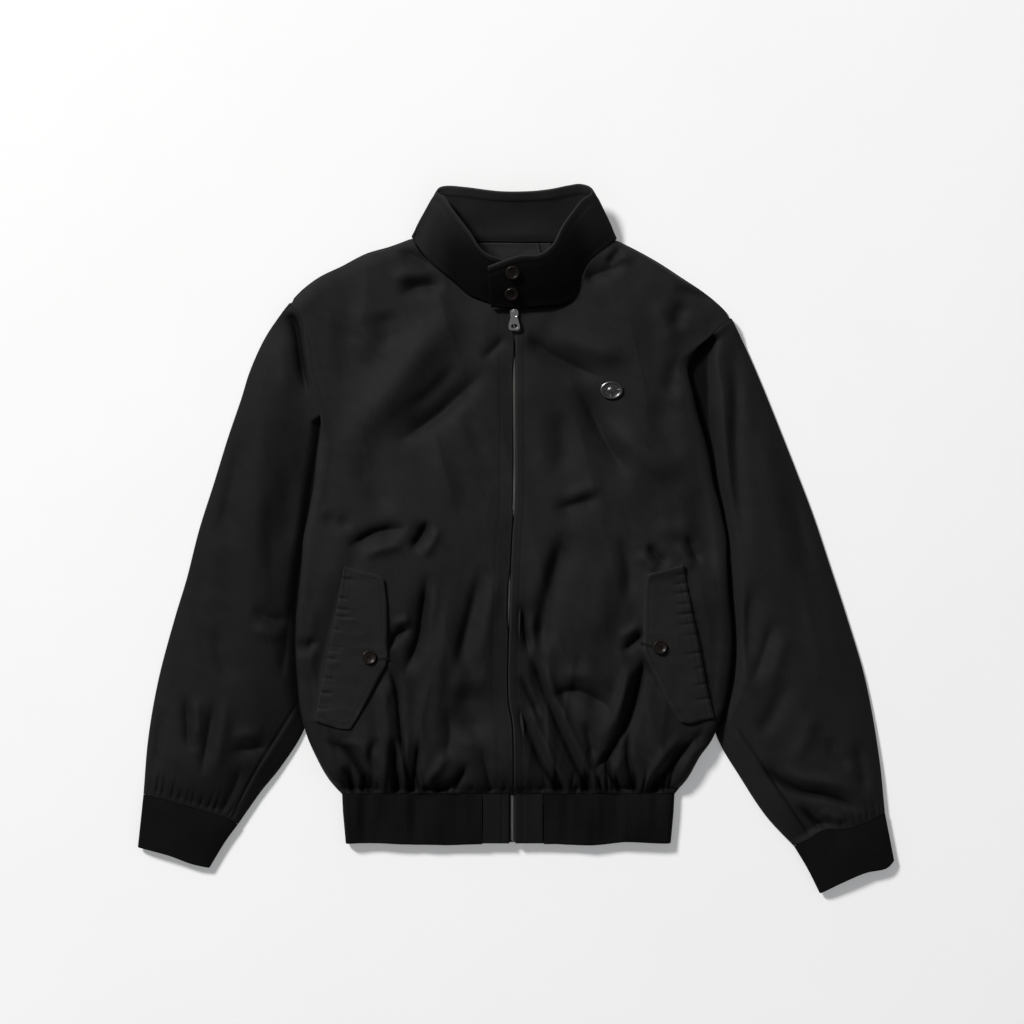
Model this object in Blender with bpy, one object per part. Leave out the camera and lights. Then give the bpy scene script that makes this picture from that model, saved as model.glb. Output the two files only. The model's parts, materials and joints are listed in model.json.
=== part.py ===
"""Harrington jacket laid flat on a surface, front up. Metres, +Z up off the surface.

+X is the wearer's left and +Y runs to the collar. The surface is z = 0. Every cloth piece is a closed
wall: an outer skin and an inner skin, worked out on one grid of rows and columns. Tables are in
millimetres and are turned into metres as they are read.
"""

import math

import bmesh
import bpy
import numpy as np
from mathutils import Matrix, Vector
from mathutils.bvhtree import BVHTree

MM = 0.001
SEAM = 0.35 * MM            # gap between two pieces that are sewn together
CLOTH = 1.4 * MM            # cotton cloth with its lining
RIB = 2.4 * MM              # knitted rib
COLLAR_CLOTH = 1.05 * MM    # each of the collar's two layers
LAYER_GAP = 0.6 * MM        # between them
FLAP_CLOTH = 2.0 * MM       # a flap is two layers sewn together
TAPE_CLOTH = 1.2 * MM

ZIP_HALF_GAP = 3.0 * MM     # front edge to the middle of the zip
TAPE_WIDTH = 13.0 * MM
TAPE_MIDDLE_GAP = 0.4 * MM  # between the two tapes
ZIP_TOP = 253.0 * MM
HEM_SEAM = -279.0 * MM

SHOULDER_EDGE = 6.0 * MM    # height of the cloth where front and back meet at the shoulder
SHOULDER_ROLL = 16.0 * MM   # width over which the front rolls down to it
SIDE_ROLL = 12.0 * MM       # the same at the body's side, below the armhole
ARMHOLE_ROLL = 2.2 * MM     # the turned edge of the armhole seam
TUCK = 6.6 * MM             # cloth turned under past the roll
SLEEVE_STRIP = 4.3 * MM     # height of the sleeve's strip that lies under the body
STRIP_REACH = 24.0 * MM     # how far the strip goes under the body's edge
BODY_OVER_SLEEVE = 5.0 * MM
BAND_HEIGHT = 13.0 * MM     # the rib band, both layers and the hollow between
CUFF_HEIGHT = 13.0 * MM

BUTTON_RADIUS = 7.7 * MM
BUTTON_HEIGHT = 3.2 * MM

# Seams and edges in plan. Each row is a place: x, y.
ZIP_LINE = [(-2, 253), (-2, 130), (-2.6, 32), (-5, 8), (-8, -70), (-9.4, -176), (-5, -203), (-4, -333)]
NECK_RIGHT = [(-6, 253), (-20, 254.5), (-35, 259), (-51, 266), (-67, 280), (-90, 299), (-104, 313),
              (-114, 329)]
NECK_LEFT = [(2, 253), (25, 253.5), (55, 257), (69, 267), (74, 288), (82, 303), (97, 317), (110, 327)]
SHOULDER_RIGHT = [(-114, 329), (-138, 320), (-165, 312), (-192, 298), (-215, 287), (-233, 274), (-248, 259)]
SHOULDER_LEFT = [(110, 327), (134, 315), (157, 302), (183, 285), (207, 269), (225, 254), (236, 242)]
SIDE_RIGHT = [(-248, 259), (-235, 241), (-232, 218), (-228, 188), (-221, 158), (-214, 132), (-217, 100),
              (-224, 50), (-232, 0), (-240, -67), (-241, -122), (-238, -166), (-231, -210), (-215, -248),
              (-200, -271), (-192, -279)]
SIDE_LEFT = [(236, 242), (224, 233), (213, 222), (197, 207), (190, 189), (195, 161), (201, 132), (208, 106),
             (217, 65), (226, 27), (232, -20), (235, -67), (237, -111), (234, -153), (229, -178), (216, -218),
             (202, -239), (189, -262), (175, -279)]
BACK_NECK = [(-106, 328.5), (-80, 328), (-40, 327.4), (0, 327), (40, 327), (80, 327), (102, 327.4)]

# Rows down the body, as parts of the side's length. Fronts and back share them, so their seams match.
BODY_ROWS = np.array([0, 0.025, 0.06, 0.1, 0.145, 0.19, 0.235, 0.29, 0.35, 0.42, 0.49, 0.56, 0.63, 0.7, 0.77,
                      0.83, 0.885, 0.935, 0.972, 1.0])

# The split is where the armhole seam goes out of sight under the body's side.
SPLIT_RIGHT = 132 * MM
SPLIT_LEFT = 222 * MM

SLEEVE_RIGHT = {
    "outer": [(-248.8, 259), (-269, 232), (-280, 213), (-293, 183), (-302, 154), (-316, 113), (-333, 58),
              (-348, 11), (-362, -44), (-375, -87), (-393, -155), (-404, -219), (-409, -280)],
    "inner": [(-193, 108), (-202, 50), (-209, 0), (-217, -60), (-219, -120), (-222, -170), (-233.5, -211),
              (-258, -250), (-279, -276), (-294, -297), (-305, -313)],
    "armhole": [(-193, 108), (-204, 121), (-214, 131.5), (-222, 158), (-229, 188), (-233.1, 218),
                (-236.4, 241), (-248.8, 259)],
    "cuff_seam": [(-305, -313), (-315, -307), (-341, -298), (-373, -289), (-409, -280)],
}
SLEEVE_LEFT = {
    "outer": [(236.8, 242), (253, 209), (270, 170), (289, 123), (308, 75), (327, 25), (346, -32), (364, -87),
              (384, -155), (399, -240), (405, -300)],
    "inner": [(178, 160), (186, 110), (198, 55), (207, 0), (211, -60), (213, -120), (210, -170),
              (220.5, -217), (247, -263), (275, -305), (305, -337)],
    "armhole": [(178, 160), (184, 182), (196, 204), (212.5, 221), (225, 233), (236.8, 242)],
    "cuff_seam": [(305, -337), (320, -329), (339, -318), (359, -318), (383, -311), (405, -300)],
}
# Along a sleeve, 0 at the armhole and 1 at the cuff: the height of its arch and of its edges.
SLEEVE_ARCH = [
    {"along": 0.00, "arch": 15, "edge": 3.0},
    {"along": 0.15, "arch": 16, "edge": 2.2},
    {"along": 0.50, "arch": 18, "edge": 2.2},
    {"along": 0.72, "arch": 21, "edge": 2.6},
    {"along": 0.90, "arch": 23, "edge": 4.5},
    {"along": 1.00, "arch": 14, "edge": 6.2},
]
CUFF_RIGHT = {
    "top": [(-305.4, -313.4), (-315.1, -307.4), (-341.1, -298.4), (-373.1, -289.4), (-409, -280.4)],
    "bottom": [(-336, -360), (-356, -355), (-380, -346), (-415, -337)],
    "inner": [(-305.4, -313.4), (-319, -332), (-336, -360)],
    "outer": [(-409, -280.4), (-415, -337)],
}
CUFF_LEFT = {
    "top": [(305.3, -337.4), (320.2, -329.4), (339.1, -318.4), (359, -318.4), (383.1, -311.4), (405, -300.4)],
    "bottom": [(333, -388), (357, -376), (383, -365), (406, -360), (415, -352)],
    "inner": [(305.3, -337.4), (320, -362), (333, -388)],
    "outer": [(405, -300.4), (415, -352)],
}
# The rib band's two ends across the jacket, from the hem seam down.
BAND_SIDES = [
    {"y": -279.4, "right": -191, "left": 174},
    {"y": -300, "right": -190, "left": 173},
    {"y": -333, "right": -187, "left": 170},
]
TABS = {"hem_tab_right": (-37.0, -7.2), "hem_tab_left": (-0.8, 30.0)}

# The body's crown across each height: the middle and the side, before the folds.
CROWN = [
    {"y": 330, "middle": 13, "side": 12},
    {"y": 250, "middle": 20, "side": 13},
    {"y": 150, "middle": 21, "side": 16},
    {"y": 50, "middle": 21, "side": 18},
    {"y": -50, "middle": 23, "side": 19},
    {"y": -150, "middle": 28, "side": 20},
    {"y": -228, "middle": 30, "side": 20},
    {"y": -262, "middle": 23, "side": 17},
    {"y": -280, "middle": 14, "side": 13.4},
]
# The largest folds: from one end to the other, half width, and height (a trough is negative).
FOLDS = [
    {"from": (-73, 258), "to": (-195, 80), "width": 24, "height": 5.0},
    {"from": (-34, 183), "to": (-133, 103), "width": 13, "height": -5.0},
    {"from": (-128, 272), "to": (-82, 277), "width": 13, "height": -3.5},
    {"from": (14, 220), "to": (99, 173), "width": 11, "height": -4.0},
    {"from": (65, 169), "to": (121, 68), "width": 12, "height": -4.0},
    {"from": (98, 120), "to": (178, 67), "width": 18, "height": 3.5},
    {"from": (-104, -60), "to": (-120, -146), "width": 11, "height": -5.0},
    {"from": (-132, -214), "to": (-131, -268), "width": 9, "height": -4.0},
    {"from": (-50, -166), "to": (-48, -216), "width": 16, "height": -4.0},
    {"from": (55, 8), "to": (25, -122), "width": 14, "height": -4.5},
    {"from": (30, -150), "to": (76, -262), "width": 9, "height": -5.0},
    {"from": (136, -145), "to": (88, -250), "width": 9, "height": -5.0},
    {"from": (42, -172), "to": (104, -184), "width": 11, "height": -3.5},
    {"from": (166, -252), "to": (192, -222), "width": 9, "height": -3.0},
    {"from": (-204, -226), "to": (-162, -266), "width": 9, "height": -3.0},
]
FLAP_RIGHT = {
    "sewn": [(-188, -30), (-196, -75), (-205, -120), (-213, -160), (-220, -199)],
    "free": [(-150, -39), (-144, -44), (-141, -70), (-140, -128), (-142, -138), (-173, -195), (-181, -208)],
    "top": [(-188, -30), (-150, -39)],
    "bottom": [(-220, -199), (-194, -207), (-181, -208)],
}
FLAP_LEFT = {
    "sewn": [(183, -28), (188, -56), (193, -82), (200, -112), (208, -159), (217, -195)],
    "free": [(144, -38), (140, -56), (139, -106), (138, -122), (154, -154), (170, -185), (180, -200)],
    "top": [(183, -28), (144, -38)],
    "bottom": [(217, -195), (202, -198), (191, -202), (180, -200)],
}
# The collar, from the end that lies under, round the back, to the end that lies over.
# base is where it is sewn to the neck, lift is how far it stands off the front there, rim is its top edge.
COLLAR = [
    {"base": (18, 254.2), "lift": 0.0, "rim": (20, 301), "rim_z": 41},
    {"base": (-6, 254.2), "lift": 0.0, "rim": (-8, 303), "rim_z": 42},
    {"base": (-20, 255.7), "lift": 0.0, "rim": (-31, 310), "rim_z": 44},
    {"base": (-34.6, 260.2), "lift": 0.0, "rim": (-41, 318), "rim_z": 45},
    {"base": (-50.5, 267.2), "lift": 0.0, "rim": (-49, 331), "rim_z": 45},
    {"base": (-66.3, 281), "lift": 0.0, "rim": (-60, 346), "rim_z": 43},
    {"base": (-89.2, 300), "lift": 0.0, "rim": (-71, 361), "rim_z": 40},
    {"base": (-102.6, 313.6), "lift": 1.0, "rim": (-78, 373), "rim_z": 36},
    {"base": (-111.6, 327.2), "lift": 0.2, "rim": (-84, 376.5), "rim_z": 32.5},
    {"base": (-114.4, 331.6), "lift": 0.4, "rim": (-86.5, 380), "rim_z": 30.5},
    {"base": (-110.5, 336), "lift": -2.0, "rim": (-84, 384), "rim_z": 29},
    {"base": (-98, 333), "lift": -5.0, "rim": (-75, 386), "rim_z": 28.5},
    {"base": (-80, 329), "lift": -9.5, "rim": (-55, 384.5), "rim_z": 30},
    {"base": (-40, 328.4), "lift": -10.4, "rim": (-18, 380), "rim_z": 31},
    {"base": (0, 328), "lift": -10.4, "rim": (14, 380), "rim_z": 31},
    {"base": (40, 328), "lift": -10.4, "rim": (38, 382.5), "rim_z": 31},
    {"base": (80, 328), "lift": -9.5, "rim": (58, 386.5), "rim_z": 30},
    {"base": (94, 332), "lift": -5.0, "rim": (70, 388), "rim_z": 29},
    {"base": (106.5, 334.5), "lift": -2.0, "rim": (80.5, 385), "rim_z": 30},
    {"base": (110.4, 330), "lift": 0.4, "rim": (84, 380.5), "rim_z": 32},
    {"base": (107, 326), "lift": 0.2, "rim": (81.5, 376), "rim_z": 35},
    {"base": (96, 318), "lift": 1.0, "rim": (73, 370), "rim_z": 39},
    {"base": (81, 304), "lift": 0.2, "rim": (62, 356), "rim_z": 43},
    {"base": (73, 289), "lift": 0.2, "rim": (51, 340), "rim_z": 47},
    {"base": (68, 268), "lift": 1.2, "rim": (41, 321), "rim_z": 50},
    {"base": (54.3, 258), "lift": 3.0, "rim": (27, 309.5), "rim_z": 51.5},
    {"base": (25, 253.8), "lift": 6.4, "rim": (5, 307.5), "rim_z": 52},
    {"base": (0, 252.6), "lift": 7.2, "rim": (-12, 302.5), "rim_z": 51.5},
    {"base": (-26, 252.8), "lift": 7.6, "rim": (-29.5, 296), "rim_z": 50},
]
BUTTONS = {
    "collar_button_upper": {"at": (-4, 290), "on": "collar_outer"},
    "collar_button_lower": {"at": (-5, 268), "on": "collar_outer"},
    "flap_button_right": {"at": (-160, -129), "on": "flap_right"},
    "flap_button_left": {"at": (157, -118), "on": "flap_left"},
}
BADGE = {"at": (104.5, 163), "half": (12.5, 9.8), "height": 2.6}
SLIDER = {"x": -2.0, "y": 246.4, "length": 11.0, "width": 9.0, "height": 2.2}
PULL = {"hinge_y": 249.4, "hinge_up": 3.6, "bar": 1.2, "length": 21.4}


# ---------------------------------------------------------------- curves and grids

def smooth(t):
    """0 to 1 with a level start and end."""
    t = np.clip(t, 0.0, 1.0)
    return t * t * (3.0 - 2.0 * t)


def along(points, t):
    """Points at parts t (0 to 1) of the length of the polyline through points in mm, in metres."""
    p = np.array(points, float) * MM
    run = np.concatenate([[0.0], np.cumsum(np.linalg.norm(np.diff(p, axis=0), axis=1))])
    return np.stack([np.interp(t * run[-1], run, p[:, k]) for k in (0, 1)], axis=-1)


def by_row(points, t):
    """The same, with the points themselves evenly spread over 0 to 1."""
    p = np.array(points, float) * MM
    return np.stack([np.interp(t * (len(p) - 1), np.arange(len(p)), p[:, k]) for k in (0, 1)], axis=-1)


def at_y(points, y):
    """x of the line through points in mm at height y in metres."""
    p = np.array(points, float) * MM
    order = np.argsort(p[:, 1], kind="stable")
    return np.interp(y, p[order, 1], p[order, 0])


def column(rows, key, by, value):
    """One named column of a table in mm, read at value of the column named by."""
    order = sorted(rows, key=lambda row: row[by])
    scale = MM if by == "y" else 1.0
    return np.interp(value, [row[by] * scale for row in order], [row[key] * MM for row in order])


def coons(u, v, top, bottom, start, end):
    """Points inside four edges that meet: u runs across from start to end, v from top to bottom."""
    u2, v2 = np.meshgrid(u, v)
    u3, v3 = u2[..., None], v2[..., None]
    t, b, s, e = top(u), bottom(u), start(v), end(v)
    edges = (1 - v3) * t[None] + v3 * b[None] + (1 - u3) * s[:, None] + u3 * e[:, None]
    corners = ((1 - u3) * (1 - v3) * t[0] + u3 * (1 - v3) * t[-1] + (1 - u3) * v3 * b[0] + u3 * v3 * b[-1])
    return edges - corners


def distance(x, y, ends):
    """Distance in plan from points to the segment between ends, in metres, and how far along it is."""
    (ax, ay), (bx, by) = ends
    dx, dy = bx - ax, by - ay
    t = np.clip(((x - ax) * dx + (y - ay) * dy) / (dx * dx + dy * dy), 0.0, 1.0)
    return np.hypot(x - ax - t * dx, y - ay - t * dy), t


def distance_to_line(x, y, points):
    p = np.array(points, float) * MM
    return np.min([distance(x, y, (p[k], p[k + 1]))[0] for k in range(len(p) - 1)], axis=0)


# ---------------------------------------------------------------- heights

def folds(x, y):
    """Sum of the soft troughs and ridges."""
    total = np.zeros_like(x)
    for fold in FOLDS:
        ends = [np.array(fold["from"]) * MM, np.array(fold["to"]) * MM]
        far, _ = distance(x, y, ends)
        total += fold["height"] * MM * np.exp(-(far / (fold["width"] * MM)) ** 2)
    return total


def side_x(side, y):
    return at_y(SIDE_RIGHT if side < 0 else SIDE_LEFT, y)


def split_y(side):
    return SPLIT_RIGHT if side < 0 else SPLIT_LEFT


def roll_width(side, y):
    """Width of the front's rolled edge: narrow at the armhole seam, wide below the split."""
    below = smooth((split_y(side) - 2 * MM - y) / (26 * MM))
    return ARMHOLE_ROLL + (SIDE_ROLL - ARMHOLE_ROLL) * below


def under(x, y):
    """Height of the back panel's lower skin: level, and raised where it lies over the sleeves."""
    total = np.zeros_like(x)
    for side in (-1, 1):
        inward = (side_x(side, y) - x) * side
        over = 1 - smooth((inward - STRIP_REACH - 6 * MM) / (26 * MM))
        top = smooth((split_y(side) + 26 * MM - y) / (24 * MM))
        foot = smooth((y + 243 * MM) / (26 * MM))
        total = np.maximum(total, BODY_OVER_SLEEVE * over * top * foot)
    return total


def front_height(x, y):
    """Upper skin of the fronts."""
    middle = column(CROWN, "middle", "y", y)
    side = column(CROWN, "side", "y", y)
    left, right = side_x(-1, y), side_x(1, y)
    across = np.abs((x - (left + right) / 2) / ((right - left) / 2))
    height = side + (middle - side) * (1 - np.clip(across, 0, 1) ** 2.6)
    hem_fade = smooth((y - HEM_SEAM) / (20 * MM))
    height = height + folds(x, y) * hem_fade * smooth((1.0 - across) / 0.12)
    for line in (SHOULDER_RIGHT, SHOULDER_LEFT):
        near = np.clip(distance_to_line(x, y, line) / SHOULDER_ROLL, 0, 1)
        roll = np.sqrt(1 - (1 - near) ** 2)
        height = SHOULDER_EDGE + (height - SHOULDER_EDGE) * roll
    return height


# ---------------------------------------------------------------- solids

def material(name, colour, roughness, metallic=0.0):
    made = bpy.data.materials.new(name)
    made.use_nodes = True
    shader = made.node_tree.nodes["Principled BSDF"]
    shader.inputs["Base Color"].default_value = (*colour, 1.0)
    shader.inputs["Roughness"].default_value = roughness
    shader.inputs["Metallic"].default_value = metallic
    return made


def keep(name, mesh, look):
    obj = bpy.data.objects.new(name, mesh)
    mesh.materials.append(look)
    bpy.context.collection.objects.link(obj)
    return obj


def closed_mesh(name, points, faces, is_round=False):
    bm = bmesh.new()
    verts = [bm.verts.new(point) for point in points]
    for face in faces:
        bm.faces.new([verts[k] for k in face])
    bmesh.ops.recalc_face_normals(bm, faces=bm.faces)
    mesh = bpy.data.meshes.new(name)
    bm.to_mesh(mesh)
    bm.free()
    if is_round:
        mesh.shade_smooth()
    return mesh


def wall(name, outer, inner, look, is_tube=False):
    """Closed wall between two grids of points of the same size. A tube's columns meet."""
    rows, cols = outer.shape[:2]
    count = rows * cols
    points = np.concatenate([outer.reshape(-1, 3), inner.reshape(-1, 3)]).tolist()

    def spot(row, col, layer):
        return layer * count + row * cols + col % cols

    faces = []
    for row in range(rows - 1):
        for col in range(cols if is_tube else cols - 1):
            for layer in (0, 1):
                faces.append([spot(row, col, layer), spot(row, col + 1, layer),
                              spot(row + 1, col + 1, layer), spot(row + 1, col, layer)])
    for row in (0, rows - 1):
        for col in range(cols if is_tube else cols - 1):
            faces.append([spot(row, col, 0), spot(row, col + 1, 0), spot(row, col + 1, 1), spot(row, col, 1)])
    if not is_tube:
        for col in (0, cols - 1):
            for row in range(rows - 1):
                faces.append([spot(row, col, 0), spot(row + 1, col, 0),
                              spot(row + 1, col, 1), spot(row, col, 1)])
    return keep(name, closed_mesh(name, points, faces), look)


def grid(x, y, z):
    return np.stack(np.broadcast_arrays(x, y, z), axis=-1)


def drop_on(obj, x, y):
    """Height and direction of a piece's upper skin at a place in plan."""
    mesh = obj.data
    tree = BVHTree.FromPolygons([v.co for v in mesh.vertices], [list(p.vertices) for p in mesh.polygons])
    hit, normal, _, _ = tree.ray_cast(Vector((x, y, 0.2)), Vector((0, 0, -1)))
    if hit is None:
        return None, None
    return hit, normal if normal.z > 0 else -normal


# ---------------------------------------------------------------- the body

def front(name, side, look):
    """One front: from the zip out to the side, round its roll and a little way under."""
    neck = NECK_RIGHT if side < 0 else NECK_LEFT
    shoulder = SHOULDER_RIGHT if side < 0 else SHOULDER_LEFT
    neck_share = 0.42
    u = np.concatenate([np.linspace(0, neck_share, len(neck)), np.linspace(neck_share, 1, len(shoulder))[1:]])
    v = BODY_ROWS
    side_points = np.array(SIDE_RIGHT if side < 0 else SIDE_LEFT, float)

    def top(t):
        first = by_row(neck, np.clip(t / neck_share, 0, 1))
        second = by_row(shoulder, np.clip((t - neck_share) / (1 - neck_share), 0, 1))
        points = np.where((t <= neck_share)[:, None], first, second)
        points[:, 0] = np.where(t == 0, zip_edge(side, points[:, 1]), points[:, 0])
        points[-1, 0] -= side * roll_width(side, points[-1, 1])
        return points

    def zip_edge(way, y):
        return at_y(ZIP_LINE, y) + way * ZIP_HALF_GAP

    def centre(t):
        y = ZIP_TOP + (HEM_SEAM - ZIP_TOP) * t
        return np.stack([zip_edge(side, y), y], axis=-1)

    def edge(t):
        points = along(side_points, t)
        points[:, 0] -= side * roll_width(side, points[:, 1])
        return points

    def bottom(t):
        x0, x1 = centre(np.array([1.0]))[0, 0], edge(np.array([1.0]))[0, 0]
        return np.stack([x0 + (x1 - x0) * t, np.full_like(t, HEM_SEAM)], axis=-1)

    plan = coons(u, v, top, bottom, centre, edge)
    x, y = plan[..., 0], plan[..., 1]
    upper = front_height(x, y)
    flat_out = grid(x, y, upper)
    flat_in = grid(x, y, upper - CLOTH)

    start_x, row_y, start_z = x[:, -1:], y[:, -1:], upper[:, -1:]
    wide = roll_width(side, row_y)
    low = under(start_x, row_y)
    full = smooth((wide - ARMHOLE_ROLL) / (SIDE_ROLL - ARMHOLE_ROLL))
    rise = (start_z - low) / 2 * full + (CLOTH + 0.3 * MM) * (1 - full)
    turn = np.radians([60, 25, -10, -45, -90])[None]
    outer_roll = grid(start_x + side * wide * np.cos(turn), row_y, start_z - rise + rise * np.sin(turn))
    inner_roll = grid(start_x + side * (wide - CLOTH) * np.cos(turn), row_y,
                      start_z - rise + (rise - CLOTH) * np.sin(turn))
    end_x = start_x - side * TUCK
    outer_end = grid(end_x, row_y, start_z - 2 * rise)
    inner_end = grid(end_x, row_y, start_z - 2 * rise + CLOTH)
    outer = np.concatenate([flat_out, outer_roll, outer_end], axis=1)
    inner = np.concatenate([flat_in, inner_roll, inner_end], axis=1)
    return wall(name, outer, inner, look)


def back(look):
    """The back panel, flat on the surface, raised a little where it lies on the sleeves."""
    u = np.array([0, 0.04, 0.1, 0.18, 0.28, 0.4, 0.5, 0.6, 0.72, 0.82, 0.9, 0.96, 1.0])
    v = BODY_ROWS

    def inset(side, y):
        """From the side's edge in to the side seam."""
        below = smooth((split_y(side) + 24 * MM - y) / (20 * MM))
        return 0.5 * MM + (SIDE_ROLL + TUCK + SEAM) * below

    def edge(side):
        points_of = SIDE_RIGHT if side < 0 else SIDE_LEFT

        def run(t):
            points = along(points_of, t)
            points[:, 0] -= side * inset(side, points[:, 1])
            return points
        return run

    def top(t):
        over = SHOULDER_RIGHT[::-1] + BACK_NECK + SHOULDER_LEFT
        points = along(over, t)
        points[0, 0] = edge(-1)(np.array([0.0]))[0, 0]
        points[-1, 0] = edge(1)(np.array([0.0]))[0, 0]
        return points

    def bottom(t):
        x0, x1 = edge(-1)(np.array([1.0]))[0, 0], edge(1)(np.array([1.0]))[0, 0]
        return np.stack([x0 + (x1 - x0) * t, np.full_like(t, HEM_SEAM)], axis=-1)

    plan = coons(u, v, top, bottom, edge(-1), edge(1))
    x, y = plan[..., 0], plan[..., 1]
    low = under(x, y)
    curl = (SHOULDER_EDGE - 2 * CLOTH - SEAM) * (1 - smooth(np.minimum(
        distance_to_line(x, y, SHOULDER_RIGHT), distance_to_line(x, y, SHOULDER_LEFT)) / (12 * MM)))
    low = np.maximum(low, curl)
    return wall("back", grid(x, y, low + CLOTH), grid(x, y, low), look)


# ---------------------------------------------------------------- sleeves, cuffs and band

def flattened_tube(name, plan_of, around, rows, arch, edge, cap, thick, look):
    """A tube pressed flat. arch(u, v) and edge(v) are heights, cap(x, y) keeps it under the body."""
    theta = np.linspace(0, 2 * math.pi, around, endpoint=False)
    u = (1 - np.cos(theta)) / 2
    is_top = theta <= math.pi
    half = around // 2
    across = plan_of(u[:half + 1], rows)
    width = np.linalg.norm(across[:, -1] - across[:, 0], axis=1)[:, None]
    inset = thick / width
    skins = []
    for layer in (0, 1):
        shrunk = (inset + (1 - 2 * inset) * u[None, :half + 1]) if layer else np.broadcast_to(
            u[None, :half + 1], (len(rows), half + 1))
        plan = plan_of(None, rows, shrunk)
        x, y = plan[..., 0], plan[..., 1]
        mid = edge(rows)[:, None]
        top = np.minimum(arch(shrunk, rows[:, None], x, y), cap(x, y))
        lift = 1 - np.clip(np.sin(np.arccos(1 - 2 * shrunk)) / 0.45, 0, 1) ** 0.7
        low = mid * lift
        if layer:
            inside = np.sin(theta[:half + 1])[None] > 1e-6
            top = np.where(inside, np.maximum(top - thick, mid + 0.25 * MM), mid)
            low = np.where(inside, np.minimum(low + thick, mid - 0.25 * MM), mid)
        upper = grid(x, y, top)
        lower = grid(x, y, low)
        skins.append(np.concatenate([upper, lower[:, half - 1:0:-1]], axis=1))
    return wall(name, skins[0], skins[1], look, is_tube=True)


def patch_of(parts):
    """Plan of a tube inside its four edges, called with a row of u, or a grid with a row to each v."""
    def plan(u, v, grid_u=None):
        fine = np.linspace(0, 1, 61)
        whole = coons(fine, v, lambda t: along(parts["top"], t), lambda t: along(parts["bottom"], t),
                      lambda t: along(parts["inner"], t), lambda t: along(parts["outer"], t))
        wanted = np.broadcast_to(u, (len(v), len(u))) if grid_u is None else grid_u
        return np.stack([[np.interp(wanted[k], fine, whole[k, :, axis]) for k in range(len(v))]
                         for axis in (0, 1)], axis=-1)
    return plan


def sleeve(name, side, table, look):
    parts = {"top": table["armhole"], "bottom": table["cuff_seam"],
             "inner": table["inner"], "outer": table["outer"]}
    rows = np.array([0, 0.03, 0.07, 0.12, 0.18, 0.25, 0.33, 0.42, 0.51, 0.6, 0.68, 0.75, 0.82, 0.88, 0.93,
                     0.97, 1.0])

    def edge(v):
        return column(SLEEVE_ARCH, "edge", "along", v)

    def arch(u, v, x, y):
        mid = column(SLEEVE_ARCH, "edge", "along", v)
        full = column(SLEEVE_ARCH, "arch", "along", v)
        rounded = np.sin(np.pi * u) ** 0.62
        own = mid + (full - mid) * np.where(u * (1 - u) > 1e-9, rounded, 0)
        seam = np.maximum(front_height(x, y), mid)
        near = 1 - smooth(v / 0.07)
        return own + (np.where(u * (1 - u) > 1e-9, seam, mid) - own) * near

    def cap(x, y):
        outward = (x - side_x(side, y)) * side
        rise = np.clip((outward - 2.5 * MM) * 0.75, 0, None)
        above = np.clip((y - split_y(side) - 6 * MM) * 1.2, 0, None)
        leaves = np.clip((-212 * MM - y) * 1.0, 0, None)
        return SLEEVE_STRIP + rise + above + leaves

    return flattened_tube(name, patch_of(parts), 20, rows, arch, edge, cap, CLOTH * 0.93, look)


def no_cap(x, y):
    return np.full_like(x, np.inf)


def cuff(name, table, look):
    rows = np.array([0, 0.5, 1.0])

    def edge(v):
        return np.full_like(v, CUFF_HEIGHT / 2)

    def arch(u, v, x, y):
        rounded = np.clip(np.sin(np.pi * u), 0, 1) ** 0.35
        return CUFF_HEIGHT / 2 + CUFF_HEIGHT / 2 * np.where(u * (1 - u) > 1e-9, rounded, 0)

    return flattened_tube(name, patch_of(table), 20, rows, arch, edge, no_cap, RIB, look)


def hem_band(look):
    """The rib band: one strip from tab to tab, round both sides and across the back."""
    rows = np.array([-279.4, -297, -315, -333]) * MM
    start, end = TABS["hem_tab_right"][0] * MM - SEAM, TABS["hem_tab_left"][1] * MM + SEAM
    radius = BAND_HEIGHT / 2
    turn = np.radians([90, 60, 30, 0, -30, -60, -90])
    skins = []
    for inset in (0.0, RIB):
        lines = []
        for y in rows:
            right, left = (column(BAND_SIDES, key, "y", y) for key in ("right", "left"))
            r = radius - inset
            turn_right, turn_left = right + radius, left - radius
            line = [(x, BAND_HEIGHT - inset) for x in np.linspace(start, turn_right, 6)[:-1]]
            line += [(turn_right - r * math.cos(a), radius + r * math.sin(a)) for a in turn]
            line += [(x, inset) for x in np.linspace(turn_right, turn_left, 9)[1:-1]]
            line += [(turn_left + r * math.cos(a), radius + r * math.sin(a)) for a in turn[::-1]]
            line += [(x, BAND_HEIGHT - inset) for x in np.linspace(turn_left, end, 6)[1:]]
            lines.append([(x, y, z) for x, z in line])
        skins.append(np.array(lines))
    return wall("hem_rib", skins[0], skins[1], look)


def hem_tab(name, look):
    x0, x1 = (value * MM for value in TABS[name])
    x = np.linspace(x0, x1, 3)[None]
    y = np.array([-279.4, -306, -333.6])[:, None] * MM
    top = BAND_HEIGHT + 0.2 * MM
    return wall(name, grid(x, y, top), grid(x, y, top - RIB), look)


def zip_tape(name, side, look):
    """A tape under the front's edge, from the neck to the bottom of the hem tabs."""
    y = np.concatenate([np.linspace(250, -255, 15), np.linspace(-268, -332, 5)]) * MM
    x = at_y(ZIP_LINE, y)[:, None] + side * np.array([TAPE_MIDDLE_GAP / 2, 5 * MM, TAPE_WIDTH])[None]
    y = y[:, None]
    under_front = front_height(np.broadcast_to(x, x.shape), np.broadcast_to(y, x.shape)) - CLOTH
    under_tab = BAND_HEIGHT + 0.2 * MM - RIB
    mix = smooth((HEM_SEAM + 24 * MM - y) / (12 * MM))
    top = under_front + (np.minimum(under_tab, under_front) - under_front) * mix - 1.1 * MM
    return wall(name, grid(x, y, top), grid(x, y, top - TAPE_CLOTH), look)


# ---------------------------------------------------------------- collar, flaps and patch

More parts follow.
